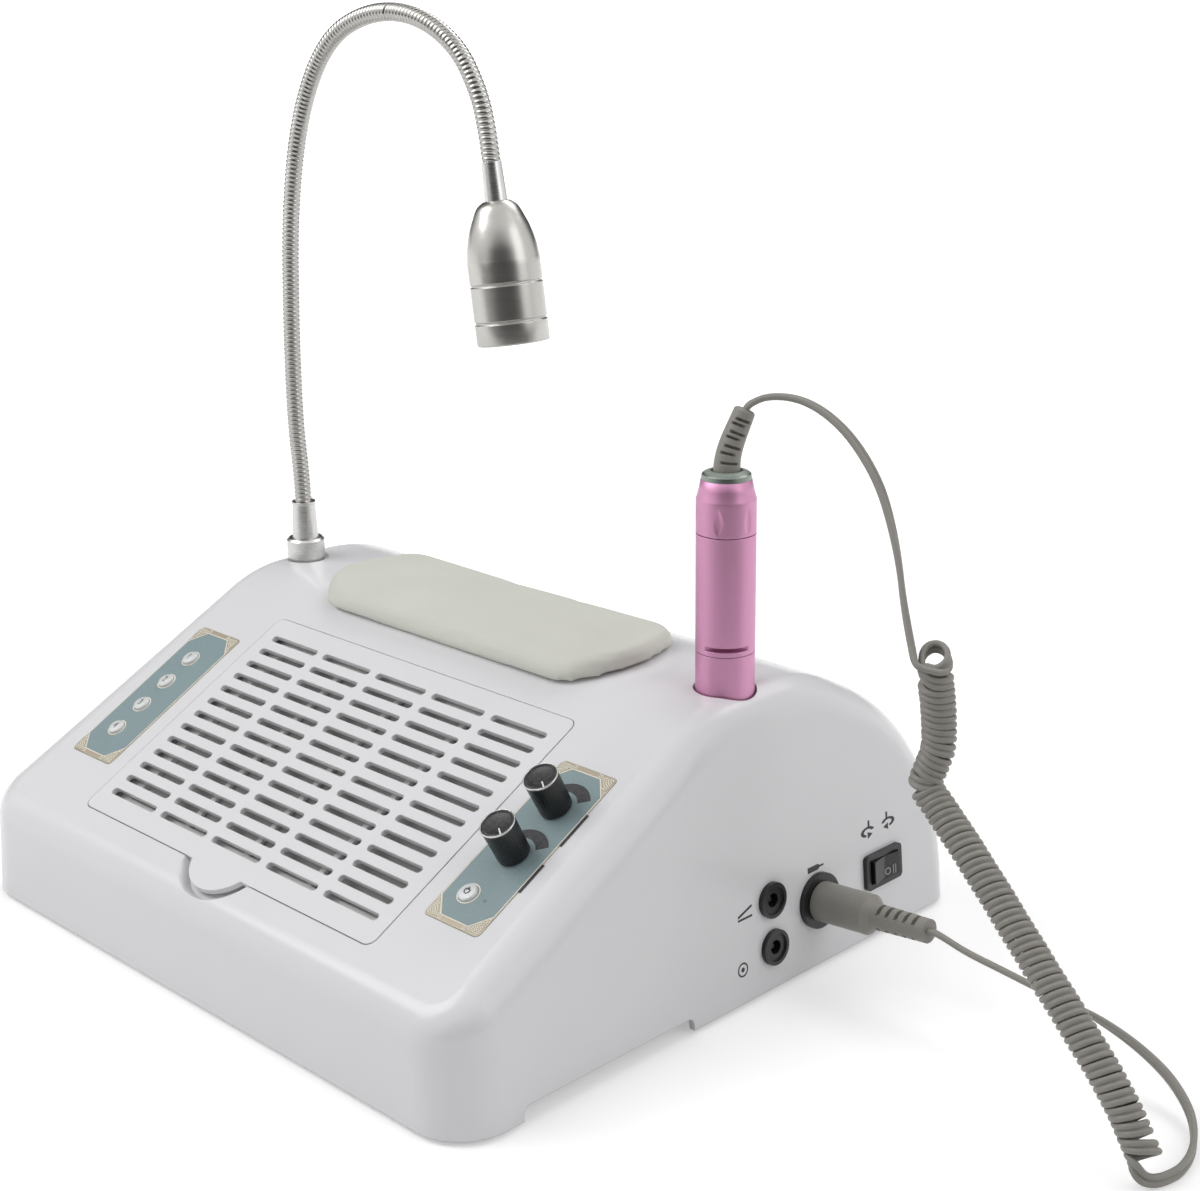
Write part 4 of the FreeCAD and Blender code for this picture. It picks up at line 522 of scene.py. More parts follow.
screw_steel = metal("screw_steel", (0.62, 0.61, 0.59, 1), (0.5, 0.49, 0.47, 1), 0.32)
guard_wire = metal("guard_wire", (0.6, 0.6, 0.6, 1), (0.5, 0.5, 0.5, 1), 0.25)
stator_steel = metal("stator_steel", (0.45, 0.33, 0.22, 1), (0.32, 0.24, 0.17, 1), 0.4)
shaft_steel = metal("shaft_steel", (0.66, 0.66, 0.65, 1), (0.56, 0.56, 0.55, 1), 0.24)
satin_nickel = metal("satin_nickel", (0.66, 0.655, 0.645, 1), (0.58, 0.575, 0.565, 1), 0.30, rings=3000.0)
neck_chrome = metal("neck_chrome", (0.50, 0.49, 0.47, 1), (0.40, 0.39, 0.37, 1), 0.24, rings=900.0)
lamp_silver = metal("lamp_silver", (0.52, 0.51, 0.485, 1), (0.48, 0.47, 0.445, 1), 0.30, 0.06, 3500.0, 0.000002)
# Its light pink edge colour is a painted edge highlight.
pink_anodised = metal("pink_anodised", (214, 156, 190), (208, 150, 184), 0.44, 0.06, 3500.0, 0.000002, rub=0.7,
                      metallic=0.8, edge_highlight_colour=(248, 206, 234))
tool_steel = metal("tool_steel", (0.68, 0.67, 0.66, 1), (0.6, 0.59, 0.58, 1), 0.22)
key_silver = metal("key_silver", (222, 223, 223), (214, 215, 216), 0.42, metallic=0.25)
ring_gunmetal = metal("ring_gunmetal", (150, 158, 152), (134, 142, 136), 0.4)
nut_nickel = metal("nut_nickel", (0.6, 0.59, 0.56, 1), (0.5, 0.49, 0.46, 1), 0.3)
print("metals made")

# %% [markdown]
# ## The cord
#
# The handpiece hangs on a flat twin cord, two round cores side by side, about 5.1 mm wide and 2.5 mm thick.
# Most of it is wound into a curl that hangs beside the machine and slants down to the table. A cord is one
# line, so the whole of it, leads and curl alike, is one NURBS spline. The curl's turns are more control
# points of that spline, twelve to a turn, set around a smooth axis that is itself a NURBS line.

# %% The curl's axis and the two leads
tool_x, axis_y = 131.3, 27.4
relief_foot = Vector((tool_x, axis_y, 205.5))
relief_length, heading, lean = 27, math.radians(62), math.radians(16)
lean_way = Vector((math.cos(heading) * math.sin(lean), math.sin(heading) * math.sin(lean), math.cos(lean)))
relief_tip = relief_foot + lean_way * relief_length
curl_axis = nurbs_line("curl_axis", [mm(*p) for p in (
    (229.3, 27.8, 158.9), (229.3, 28.4, 150.1), (230, 29.8, 139.8), (230.6, 30.5, 130.2), (230.8, 30.2, 122.3),
    (229, 28.6, 114.5), (227.3, 26.8, 107.6), (234.3, 26.9, 101.9), (256.6, 21.8, 85.6), (284.5, 15.8, 62.7),
    (308.4, 11.6, 42.8), (324.1, 10, 27.1), (332.1, 9.3, 14.8), (337, 9.6, 6.9))], 24)
upper_route = [relief_tip - lean_way * 2, relief_tip + lean_way] + [Vector(p) for p in (
    (137.8, 36.9, 234.6), (140.3, 39.1, 235.8), (144.4, 41.2, 236.4), (149.4, 43.3, 236.3), (155.6, 45.2, 235.0),
    (163.6, 45.9, 232.1), (172.9, 46.2, 226.7), (182.8, 45.1, 218.7), (192.2, 42.8, 209.1), (200.4, 38.7, 198),
    (207.7, 34.1, 186.2), (213.4, 29.5, 175), (218, 26.5, 166.3), (221.2, 24.7, 160.4), (223.6, 23.1, 156.4),
    (226.0, 22.0, 154.0))]
plug_tip = on_wall(55.2, 29.5).translation * 1000 + wall_out * 55
lower_route = [Vector(p) for p in (
    (334.6, 4.2, 8.3), (336.4, 5, 5.4), (338, 7.4, 3.4), (339.9, 11, 2.7), (341.2, 15.5, 2.6), (342.1, 21.5, 2.6),
    (339.9, 32.7, 2.6), (334.5, 44, 3.2), (327.2, 53.2, 5.5), (315.6, 60.6, 9.5), (305, 63, 13.5),
    (294.3, 63.3, 17.5), (284.5, 62, 21), (279, 60.4, 23), (269.6, 58.1, 25.5), (259.4, 55.7, 28), (245, 55.2, 30),
    (229.9, 54.6, 31.8))] + [plug_tip + wall_out * 4, plug_tip, plug_tip - wall_out * 14]
print("curl axis is", round(length_of(curl_axis) * 1000), "mm long")

# %% [markdown]
# Each turn is a ring of control points around the axis. Angles run from the right end of a turn over the back
# and the left end to the front. A quadratic spline cuts inside its control points, so they stand a little
# further out than the strand. The first turn is smaller and its back stands up above the curl, the turns lie
# close, and the right ends of the last three fan out where the curl rests on the table.

# %% Wind the curl
points_per_turn, bulge, first_angle, last_angle = 12, 1 / 0.966, 222.0, 192
axis_frames = carried_frames(curl_axis, (0.707, 0.707, 0))
axis_reach = [0.0]
for a, b in zip(curl_axis, curl_axis[1:]):
    axis_reach.append(axis_reach[-1] + (b - a).length * 1000)
axis_total = axis_reach[-1]


def axis_at(reach):
    """Centre, direction and two side directions of the axis, a number of millimetres along it."""
    k = max(i for i, r in enumerate(axis_reach[:-1]) if r <= max(0, reach))
    share = (reach - axis_reach[k]) / max(1e-6, axis_reach[k + 1] - axis_reach[k])
    way, side, other = axis_frames[k]
    return (curl_axis[k] * 1000).lerp(curl_axis[k + 1] * 1000, share), way, side, other


def eased(share):
    share = min(1, max(0, share))
    return share * share * (3 - 2 * share)


angle, reach, curl_points, curl_wide = first_angle, 4.4, [], []
while reach < axis_total:
    centre, way, side, other = axis_at(reach)
    turn = math.radians(angle)
    lift = 3.9 * (1 + math.cos(math.radians(angle - 450))) if 270 <= angle <= 630 else 0
    fan = 9 * max(0, 1 - (axis_total - reach) / 17) ** 2 * (0.5 + 0.5 * math.cos(turn))
    taper = 0.4 * min(1, reach / 50) + 0.65 * eased((640 - angle) / 120)
    radius = (5.45 - taper + 0.06 * math.sin(reach * 0.9)) * bulge
    outward = side * math.cos(turn) + other * math.sin(turn)
    tip = math.radians(78 * eased((angle - 240) / 100) + 12 * eased((angle - 500) / 100))
    curl_points.append(centre + way * (fan - lift) + outward * radius)
    curl_wide.append(outward * math.cos(tip) + way * math.sin(tip))
    angle += 360 / points_per_turn
    reach += (5.1 if reach < 54 else 5.28) / points_per_turn
while round(angle - 360 / points_per_turn) % 360 != last_angle:
    curl_points.pop()
    curl_wide.pop()
    angle -= 360 / points_per_turn
print("the curl has", round(len(curl_points) / points_per_turn, 1), "turns")

# %% [markdown]
# The lower lead runs under the curl's end, lies on the table on its edge in a loose loop and climbs to the
# motor plug. It runs on a little way inside the plug, so that the two stay together when the plug is pulled
# out. The flat side is turned by steering its wide direction from point to point: edge on to the viewer at the
# strain relief, a third of a right angle round on the way down, edge on again at the curl, and upright on the
# table.

# %% One spline from the strain relief to the plug
controls = upper_route + curl_points + lower_route
view_way = Vector((0.6745, -0.6746, 0.300))
wide_ways = []
for k, turned_away in enumerate((8, 8, 8, 10, 13, 17, 22, 27, 32, 36, 34, 25, 13, 5, 0, 0, 0, 0)):
    way = (controls[k + 1] - controls[max(k - 1, 0)]).normalized()
    facing = (view_way - way * view_way.dot(way)).normalized()
    turn = math.radians(turned_away)
    wide_ways.append(facing * math.cos(turn) + way.cross(facing) * math.sin(turn))
wide_ways += curl_wide
wide_ways += [Vector((0, 0, 1)).lerp(view_way, min(1, max(0, k - 7) / 7)) for k in range(len(lower_route))]
for k in range(1, len(wide_ways)):
    if wide_ways[k].dot(wide_ways[k - 1]) < 0:
        wide_ways[k] = -wide_ways[k]
line = nurbs_line("cord_line", [p / 1000 for p in controls], 4)


def hint_at(share):
    """The wide side's direction part way along the spline, between those of its control points."""
    place = min(max(share * (len(controls) - 2) + 0.5, 0), len(controls) - 1.001)
    return wide_ways[int(place)].lerp(wide_ways[int(place) + 1], place - int(place))


core_radius, core_offset = 1.22, 1.34
lobe = [math.radians(-165 + 30 * k) for k in range(12)]
section = [(sign * (core_offset + core_radius * math.cos(a)), sign * core_radius * math.sin(a))
           for sign in (1, -1) for a in lobe]
rings = []
for k, (point, way) in enumerate(zip(line, tangents(line))):
    wide = hint_at(k / (len(line) - 1))
    wide = (wide - way * wide.dot(way)).normalized()
    thin = way.cross(wide)
    rings.append([point + (wide * a + thin * b) / 1000 for a, b in section])
twin_cord = piece_from("twin_cord", *tube_mesh(rings), cord_grey, None, "cord")
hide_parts("upper_lead", "curly_cord", "lower_lead")
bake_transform(twin_cord)

# %% [markdown]
# ## The goose neck
#
# A goose neck is two wires wound into each other: a round spring inside and a three-sided wire pressed into
# its gap outside. What shows is a fine screw of rounded ribs, about 2 mm apart. The ribs are modelled, since
# they draw the neck's outline, as a tube whose radius rises and falls with the turn and the place along it.
# The neck bends in two places, and it is made in two pieces that meet at the top of its arch.

# %% Wind the neck
head_x, head_z, head_tilt, rib_pitch = 4, 314.9, math.radians(8.5), 2.05
head_top = (head_x - 11 * math.sin(head_tilt), head_z + 11 * math.cos(head_tilt))
neck_route = [(-134, 139), (-134, 160), (-137, 185), (-136, 232), (-132, 286), (-120.5, 330), (-99.5, 360.5),
              (-70.5, 372.3), (-40.5, 372.3), (-15, 360.5), (-2, 341.5), head_top, (head_x, head_z)]
neck_line = nurbs_line("neck_line", [mm(x, axis_y, z) for x, z in neck_route], 96)
neck_cut = min(range(len(neck_line)), key=lambda k: (neck_line[k] - mm(-55.5, axis_y, 372.3)).length)


def ribbed(angle, reach):
    """The radius of a screw of rounded ribs."""
    rib = abs(math.sin(math.pi * (reach / rib_pitch + angle / (2 * math.pi))))
    return 3.35 + 0.55 * rib ** 0.6


neck_pieces, reached = [], 0.0
for name, points in (("neck_lower", neck_line[:neck_cut + 1]), ("neck_upper", neck_line[neck_cut:])):
    rings, reached = swept(even_line(points, 0.29), (0, 1, 0), 28, ribbed, reached)
    neck_pieces.append(piece_from(name, *tube_mesh(rings), neck_chrome, None, "neck"))
neck_lower, neck_upper = neck_pieces
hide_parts("neck_root", "neck_arch")
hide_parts("neck_end")
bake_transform(neck_lower)
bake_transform(neck_upper)
print("neck:", round(reached), "mm of wound tube in two pieces")

# %% [markdown]
# ## The hand rest
#
# The rest is a foam pad with rounded sides under sage leatherette, glued to a board on the crown. Its
# underside follows the housing, so each point of it is found by looking straight down onto the shell. The pad
# then swells a little in a cloth simulation, as foam does under stretched cover, before its grain is added.

# %% The pad's outline and its rings
def rounded_outline(corners, steps):
    """Corner points, each (x, y, radius), with arcs in place of the corners."""
    points = []
    for k, (x, y, radius) in enumerate(corners):
        a, b = Vector(corners[k - 1][:2]), Vector(corners[(k + 1) % len(corners)][:2])
        corner = Vector((x, y))
        to_a, to_b = (a - corner).normalized(), (b - corner).normalized()
        half = to_a.angle(to_b) / 2
        back_off = radius / math.tan(half)
        centre = corner + (to_a + to_b).normalized() * radius / math.sin(half)
        first, last = corner + to_a * back_off - centre, corner + to_b * back_off - centre
        for step in range(steps + 1):
            points.append(centre + first.lerp(last, step / steps).normalized() * radius)
    return points


def pairs(loop):
    return list(zip(loop, loop[1:] + loop[:1]))


pad_corners = [(-91.2, -8, 27), (91.2, -8, 27), (91.2, 26, 40), (84, 54.5, 15), (-84, 54.5, 15), (-91.2, 26, 40)]
pad_edges = pairs(rounded_outline(pad_corners, 8))
even_rim = []
for a, b in pad_edges:
    parts = max(1, round((b - a).length / 3))
    even_rim += [a.lerp(b, k / parts) for k in range(parts)]


def shrunk(outline, inset):
    """The outline moved inward, square to its own edge."""
    moved = []
    for k, p in enumerate(outline):
        way = (outline[(k + 1) % len(outline)] - outline[k - 1]).normalized()
        moved.append(p + Vector((-way.y, way.x)) * inset)
    return moved


shell = nodes["upper_housing"]
bpy.context.view_layer.update()


def shell_height(x, y):
    """The height of the shell straight below a place, in millimetres."""
    hit, place, _, _ = shell.ray_cast(Vector((x, y, 200)) / 1000, Vector((0, 0, -1)))
    return place.z * 1000 if hit and place.z > 0.1 else 100.0


pad_foot, pad_height, pad_roll, roundness, crown = 1.0, 7.7, 7.5, 2.1, 0.8


def pad_rise(inset):
    """The pad's height over the shell, a soft roll at the edge and then a slight crown."""
    share = min(1, inset / pad_roll)
    roll = (1 - (1 - share) ** roundness) ** (1 / roundness)
    return pad_foot + (pad_height - pad_foot) * roll + crown * min(1, inset / 26)


insets = (0, 0.1, 0.35, 0.8, 1.5, 2.5, 4, 6, 9, 14, 20, 25)
layers = [(inset, 0.2) for inset in (25, 15, 8, 3, 0.3)] + [(inset, pad_rise(inset)) for inset in insets]
rings = [[mm(p.x, p.y, shell_height(p.x, p.y) + rise) for p in shrunk(even_rim, inset)] for inset, rise in layers]
hand_pad = piece_from("hand_pad", *tube_mesh(rings), None, None, "cushion")
perimeter = sum((b - a).length for a, b in pad_edges)
print("pad:", len(even_rim), "points round its edge,", round(perimeter), "mm about")

# %% [markdown]
# Cloth simulation makes the cover look stuffed. The shape is remeshed into even small faces, each face is a
# patch of cloth, and a light pressure pushes them out from inside. How far a point may move is then capped,
# since the foam under the cover is firm and the underside is glued down.

# %% Stuff the pad
cloth_steps = 20


def stuffed(piece, voxel, pressure, most, floor_of):
    """Remeshes the piece, blows it up a little as cloth, and caps how far each point moves."""
    remesh = piece.modifiers.new("even_faces", "REMESH")
    remesh.mode, remesh.voxel_size, remesh.use_smooth_shade = "VOXEL", voxel, True
    bpy.context.view_layer.update()
    even = bpy.data.meshes.new_from_object(piece.evaluated_get(bpy.context.evaluated_depsgraph_get()))
    piece.modifiers.clear()
    piece.data = even
    before = [v.co.copy() for v in even.vertices]
    cloth = piece.modifiers.new("cover", "CLOTH")
    cloth.settings.use_pressure = True
    cloth.settings.uniform_pressure_force = pressure
    cloth.settings.effector_weights.gravity = 0
    for step in range(1, cloth_steps + 1):
        bpy.context.scene.frame_set(step)
    grown = piece.evaluated_get(bpy.context.evaluated_depsgraph_get())
    after = [v.co.copy() for v in grown.data.vertices]
    piece.modifiers.clear()
    bpy.context.scene.frame_set(1)
    for vertex, a, b in zip(even.vertices, before, after):
        move = b - a
        vertex.co = a + (move if move.length < most else move.normalized() * most)
    for vertex in even.vertices:
        low = floor_of(vertex.co.x, vertex.co.y)
        vertex.co.z = low if vertex.co.z < low + 0.0006 else vertex.co.z
    smooth = piece.modifiers.new("smooth", "SUBSURF")
    smooth.levels = smooth.render_levels = 1
    even.shade_smooth()


pad_leather, tree, out = blank("pad_leather")
skin = use_group(tree, moulded_skin, {"Colour": paint(214, 215, 205), "Cloud colour": paint(206, 207, 197),
                                      "Cloud size": 30.0, "Roughness": 0.52, "Roughness spread": 0.08, "Grain": 1400.0})
here = put(tree, "TexCoord").outputs["Object"]
cells = put(tree, "TexVoronoi", {"Vector": here, "Scale": 850.0}, feature="DISTANCE_TO_EDGE").outputs["Distance"]
height = calc(tree, "MULTIPLY_ADD", remap(tree, cells, 0.0, 0.25), 0.25, noise(tree, here, 45.0, 3.0))
top = use_group(tree, settled_dust, {"Colour": skin["Colour"], "Amount": 0.1, "Roughness": skin["Roughness"]})
bump = put(tree, "Bump", {"Strength": 0.6, "Distance": 0.0002, "Height": height}).outputs[0]
cover = put(tree, "BsdfPrincipled", {"Base Color": top["Colour"], "Roughness": top["Roughness"], "Normal": bump,
                                     "Sheen Weight": 0.1})
tree.links.new(cover.outputs[0], out)

stuffed(hand_pad, 0.002, 4.0, 0.001, lambda x, y: shell_height(x * 1000, y * 1000) / 1000 + 0.0003)
hand_pad.data.materials.clear()
hand_pad.data.materials.append(pad_leather)
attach(hand_pad, "housing")
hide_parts("hand_rest_cushion")
print("pad:", len(hand_pad.data.vertices), "points")

# %% [markdown]
# ## Dressing the CAD parts
#
# The rigid CAD parts keep their meshes and only get a finish. The list reads like a maker's parts list: which
# material each piece is made of.

# %% Dress the hard parts
panel_tan = metal("panel_tan", (198, 188, 168), (182, 172, 150), 0.34, metallic=0.35)
board_green = plastic("board_green", (38, 92, 62), (30, 78, 52), 0.42, grain=300.0)
heat_black = metal("heat_black", (0.1, 0.1, 0.1, 1), (0.07, 0.07, 0.07, 1), 0.5)
lens_clear = plastic("lens_clear", (235, 238, 240), (228, 231, 233), 0.12, transmission=0.7)
led_white = plastic("led_white", (236, 232, 214), (230, 226, 206), 0.3)
media_felt = plastic("media_felt", (196, 196, 194), (170, 170, 168), 0.85, grain=1200.0, depth=0.0002)
for material, names in (
        (white_shell, "upper_housing"), (white_grille, "grille_lid"), (base_grey, "base_plate"),
        (foot_rubber, "rubber_feet"), (screw_steel, "machine_screws"), (filter_board, "filter_frame"),
        (media_felt, "filter_media"), (tray_plastic, "suction_tray"), (guard_wire, "fan_guard"),
        (fan_plastic, "fan_frame fan_rotor"), (stator_steel, "fan_stator"),
        (shaft_steel, "fan_shaft speed_knob_shaft light_knob_shaft nose_bearings"),
        (panel_tan, "left_panel_plate right_panel_plate"),
        (key_silver, "mode_button_1 mode_button_2 mode_button_3 mode_button_4 start_button"),
        (board_green, "left_control_board right_control_board main_board"), (knob_plastic, "speed_knob light_knob"),
        (nut_nickel, "knob_potentiometers socket_nuts"), (jack_plastic, "inlet_jacks motor_socket"),
        (switch_plastic, "rocker_housing rocker"), (cup_plastic, "holder_cup hand_rest_board"),
        (satin_nickel, "lamp_collar lamp_nut lamp_lower_sleeve lamp_upper_sleeve"),
        (lamp_silver, "lamp_head_shell"), (heat_black, "lamp_heat_sink micro_motor"), (led_white, "lamp_led_board"),
        (lens_clear, "lamp_lens"), (pink_anodised, "handpiece_body handpiece_cap lock_sleeve"),
        (ring_gunmetal, "handpiece_end_ring"), (tool_steel, "handpiece_nose spindle"),
        (cord_grey, "motor_plug strain_relief")):
    for name in names.split():
        if not nodes[name].material_slots:
            nodes[name].data.materials.append(material)
        for mesh_slot in nodes[name].material_slots:
            mesh_slot.material = material
print("dressed", sum(1 for n in nodes.values() if n.material_slots), "CAD nodes")

# %% [markdown]
# ## Thin shapes cut from sheet
#
# Prints, scales and marks are thin flat shapes that lie on a surface. A 2D curve fills itself between its
# outlines, an outline inside another becomes a hole, and its extrusion gives the sheet's thickness. Reading
# it back as a mesh and moving it to its frame puts it exactly on the slope or the wall.

# %% Sheet shapes
def round_loop(x, y, r, steps=24, start=0.0, end=360.0):
    return [(x + r * math.cos(math.radians(start + (end - start) * k / steps)),
             y + r * math.sin(math.radians(start + (end - start) * k / steps))) for k in range(steps)]


def arc_band(x, y, inner, outer, start, end, steps=24):
    """A band between two radii, each a number or a function of the share of the way round."""
    at = lambda r, share: r(share) if callable(r) else r
    shares = [k / steps for k in range(steps + 1)]
    ray = lambda share: math.radians(start + (end - start) * share)
    return [(x + at(outer, s) * math.cos(ray(s)), y + at(outer, s) * math.sin(ray(s))) for s in shares] + \
           [(x + at(inner, s) * math.cos(ray(s)), y + at(inner, s) * math.sin(ray(s))) for s in reversed(shares)]


def bar(x0, y0, x1, y1, wide):
    """A straight stroke from one place to another."""
    a, b = Vector((x0, y0)), Vector((x1, y1))
    n = (b - a).normalized()
    n = Vector((-n.y, n.x)) * wide / 2
    return [tuple(a + n), tuple(a - n), tuple(b - n), tuple(b + n)]


def sheet(name, curve, thickness, place, material, body):
    """A filled curve or a text as a thin sheet that lies on a frame."""
    mesh = read_mesh(name, curve)
    mesh.transform(place @ Matrix.Translation((0, 0, thickness / 2000)))
    mesh.materials.clear()
    mesh.materials.append(material)
    return added(name, mesh, body)


def flat_piece(name, loops, thickness, place, material, body="housing"):
    """A sheet cut to closed outlines in millimetres."""
    curve = bpy.data.curves.new(name, "CURVE")
    curve.dimensions, curve.fill_mode, curve.extrude = "2D", "BOTH", thickness / 2000
    for loop in loops:
        spline = curve.splines.new("POLY")
        spline.points.add(len(loop) - 1)
        for point, (x, y) in zip(spline.points, loop):
            point.co = (x / 1000, y / 1000, 0, 1)
        spline.use_cyclic_u = True
    return sheet(name, curve, thickness, place, material, body)


def figure(name, text, height, thickness, place, material, body):
    """A plain numeral standing in the middle of a frame."""
    letters = bpy.data.curves.new(name, "FONT")
    letters.body, letters.size, letters.extrude = text, height / 1000, thickness / 2000
    letters.align_x, letters.align_y = "CENTER", "CENTER"
    return sheet(name, letters, thickness, place, material, body)


def laid_on(node, place):
    """The frame moved down its own Z onto a CAD piece and tilted to lie flat on what it meets."""
    across, _, out = (place.to_3x3().col[k] for k in range(3))
    _, spot, normal, _ = nodes[node].ray_cast(place.translation + out * 0.03, -out)
    across = (across - normal * across.dot(normal)).normalized()
    return frame_at(spot, across, normal.cross(across), normal)


print("sheet helpers ready")

# %% [markdown]
# ## The two control panels
#
# Each panel is a cream metal plate under a printed film. The print is a steel blue field with cut corners, a
# fine cream line around it, and a fan of small raised dots in each corner. The dots are modelled rather than
# painted, as they catch the light one by one.

# %% Print the panels
field_blue = plastic("field_blue", (140, 160, 163), (132, 152, 157), 0.34, 0.08, 1500.0, 0.00001, 0.0001, rub=0.1)
cream_line = plastic("cream_line", (246, 242, 230), (238, 233, 218), 0.36, grain=1500.0, edge=0.0001)
# Dark grey for printed marks, also used for the painted shadow strips beside the right panel.
print_and_shadow_grey = plastic("print_and_shadow_grey", (46, 46, 50), (56, 56, 60), 0.5, edge=0.0001)
mark_soft = plastic("mark_soft", (120, 122, 124), (132, 134, 136), 0.4, edge=0.0001)
half_wide, half_long, cut_x, cut_s = 13.75, 38.1, 6.6, 7.4
panel_x, panel_s = 118.5, 1.3
key_x, key_s = -120.5, [0.9 + 15.33 * (1.5 - i) for i in range(4)]
start_x, start_s = 114.7, -25.2
knob_x, knob_s = 118.7, {"speed": 21.4, "light": -3.3}
print_holes = {"left": [(key_x + panel_x, s - panel_s, 4.0) for s in key_s],
               "right": [(start_x - panel_x, start_s - panel_s, 4.3)] +
                        [(knob_x - panel_x, s - panel_s, 4.2) for s in knob_s.values()]}


def cut_corners(grow):
    """The print's outline, grown by some millimetres."""
    a, b, k = half_wide + grow, half_long + grow, 0.4 * grow
    return [(a, -b + cut_s + k), (a, b - cut_s - k), (a - cut_x - k, b), (-a + cut_x + k, b), (-a, b - cut_s - k),
            (-a, -b + cut_s + k), (-a + cut_x + k, -b), (a - cut_x - k, -b)]


def in_print(x, y, grow):
    return abs(x) < half_wide + grow and abs(y) < half_long + grow and \
        abs(x) / cut_x + abs(y) / cut_s < (half_wide - cut_x + grow) / cut_x + half_long / cut_s + grow / cut_s


def corner_dots():
    loops = []
    for side in (-1, 1):
        for end in (-1, 1):
            for ring in range(8):
                radius = 1.6 + 0.95 * ring
                count = max(2, round(radius * math.pi / 2 / 0.92))
                for k in range(count + 1):
                    angle = math.pi / 2 * (0.04 + 0.92 * k / count)
                    x, y = 14.3 - radius * math.cos(angle), 40.6 - radius * math.sin(angle)
                    if not in_print(x, y, 0.75) and x < 13.9 and y < 40.2:
                        loops.append(round_loop(side * x, end * y, 0.33, 8))
    return loops


dots = corner_dots()
for name, x in (("left", -panel_x), ("right", panel_x)):
    place = on_slope(x, panel_s, 0.2)
    holes = [round_loop(*hole, 40) for hole in print_holes[name]]
    flat_piece(f"{name}_print", [cut_corners(0)] + holes, 0.06, place, field_blue)
    flat_piece(f"{name}_print_line", [cut_corners(0.55), cut_corners(0.12)], 0.12, place, cream_line)
    flat_piece(f"{name}_corner_dots", dots, 0.22, place, cream_line)
print("each panel has", len(dots), "corner dots")

# %% [markdown]
# The four keys and the start key are domed silver caps. Each carries a small grey mark: plain numbers on the
# four, and the usual ring and bar on the start key. Around each key the print leaves a narrow bright collar.

# %% Mark the keys
def collar(name, x, s, inner):
    loops = [round_loop(0, 0, r, 40) for r in (inner + 0.6, inner)]
    flat_piece(name, loops, 0.14, on_slope(x, s, 0.22), cream_line)


for i, s in enumerate(key_s, 1):
    top = laid_on(f"mode_button_{i}", on_slope(key_x, s, 0))
    figure(f"key_{i}_number", str(i), 4.4, 0.06, top, mark_soft, f"mode_button_{i}")
    collar(f"key_{i}_collar", key_x, s, 3.9)
collar("start_collar", start_x, start_s, 4.2)
# Two dark grey strips along the right panel's outer edge are painted shadow: the shade in the gap where the plate
# stands off the housing.
gap_shadow_x = 133.5
for k, (low, high) in enumerate(((-18, -4), (5.7, 22)), 1):
    flat_piece(f"panel_gap_shadow_{k}", [bar(gap_shadow_x, low, gap_shadow_x, high, 1.3)], 0.12, on_slope(0, panel_s, 0.12), print_and_shadow_grey)
top = laid_on("start_button", on_slope(start_x, start_s, 0))
for name, loop in (("start_mark", arc_band(0, 0, 0.95, 1.35, 115, 425)),
                   ("start_mark_bar", [(-0.2, 0.5), (0.2, 0.5), (0.2, 1.7), (-0.2, 1.7)])):
    flat_piece(name, [loop], 0.08, top, print_and_shadow_grey, "start_button")
flat_piece("power_dot", [round_loop(0, 0, 0.75)], 0.05, on_slope(123.6, -25.3, 0.26), mark_soft)
print("keys marked")

# %% [markdown]
# ## The two knobs
#
# A knob is a black cap with fine upright flutes, a thin turned silver ring at its top edge and a dished top
# with a white pointer. A plain cylinder would look dead, because all its light comes off the flutes, the ring
# and the dish. Each knob turns with its own body, and its scale, a band that widens clockwise, stays put.

# %% Turn the knobs and print their scales
knob_silver = metal("knob_silver", (0.62, 0.62, 0.62, 1), (0.54, 0.54, 0.54, 1), 0.22, rings=6000.0, edge=0.0001)
pointer_white = plastic("pointer_white", (240, 240, 238), (230, 230, 228), 0.35, edge=0.0001)
knob_dish = plastic("knob_dish", (30, 30, 32), (48, 48, 50), 0.34, 0.1, 3000.0, edge=0.0001)
cap_profile = [(6.0, 1.0), (6.45, 1.0, 1), (6.5, 1.6, 1), (6.8, 16.2, 1), (6.85, 16.6, 0.6), (6.75, 16.75),
               (6.6, 16.75), (6.5, 15.5)]
ring_profile = [(6.5, 16.6), (6.93, 16.6), (6.97, 16.9), (6.9, 17.25), (6.75, 17.4), (6.55, 17.3), (6.5, 17.0)]
dish_profile = [(6.53, 16.5), (6.53, 17.15), (5.2, 16.9), (3.5, 16.7), (1.5, 16.6), (0.05, 16.58)]
flutes, flute_depth, pointer_turn = 36, 0.16, math.radians(-34.5)


def flute(angle, z):
    return flute_depth * (0.5 + 0.5 * math.cos(flutes * angle)) ** 2


for name, s in knob_s.items():
    place, body = on_slope(knob_x, s, 0), f"{name}_knob"
    cap = turned(f"{body}_cap", cap_profile, place, knob_plastic, body, "knobs", 144, press=flute)
    turned(f"{body}_ring", ring_profile, place, knob_silver, body, "knobs", hollow=True)
    turned(f"{body}_dish", dish_profile, place, knob_dish, body, "knobs")
    turn = place @ Matrix.Rotation(pointer_turn, 4, "Z") @ Matrix.Translation((0, 0, 0.0170))
    flat_piece(f"{body}_pointer", [bar(3.2, 0, 6.8, 0, 0.55)], 0.5, turn, pointer_white, body)
    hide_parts(body)
    scale = arc_band(0, 0, 8.3, lambda share: 8.5 + 5.0 * (1 - (1 - share) ** 2), 175, 36)
    flat_piece(f"{name}_scale", [scale], 0.04, on_slope(knob_x, s, 0.26), print_and_shadow_grey)
print("two knobs with pointers and scales")

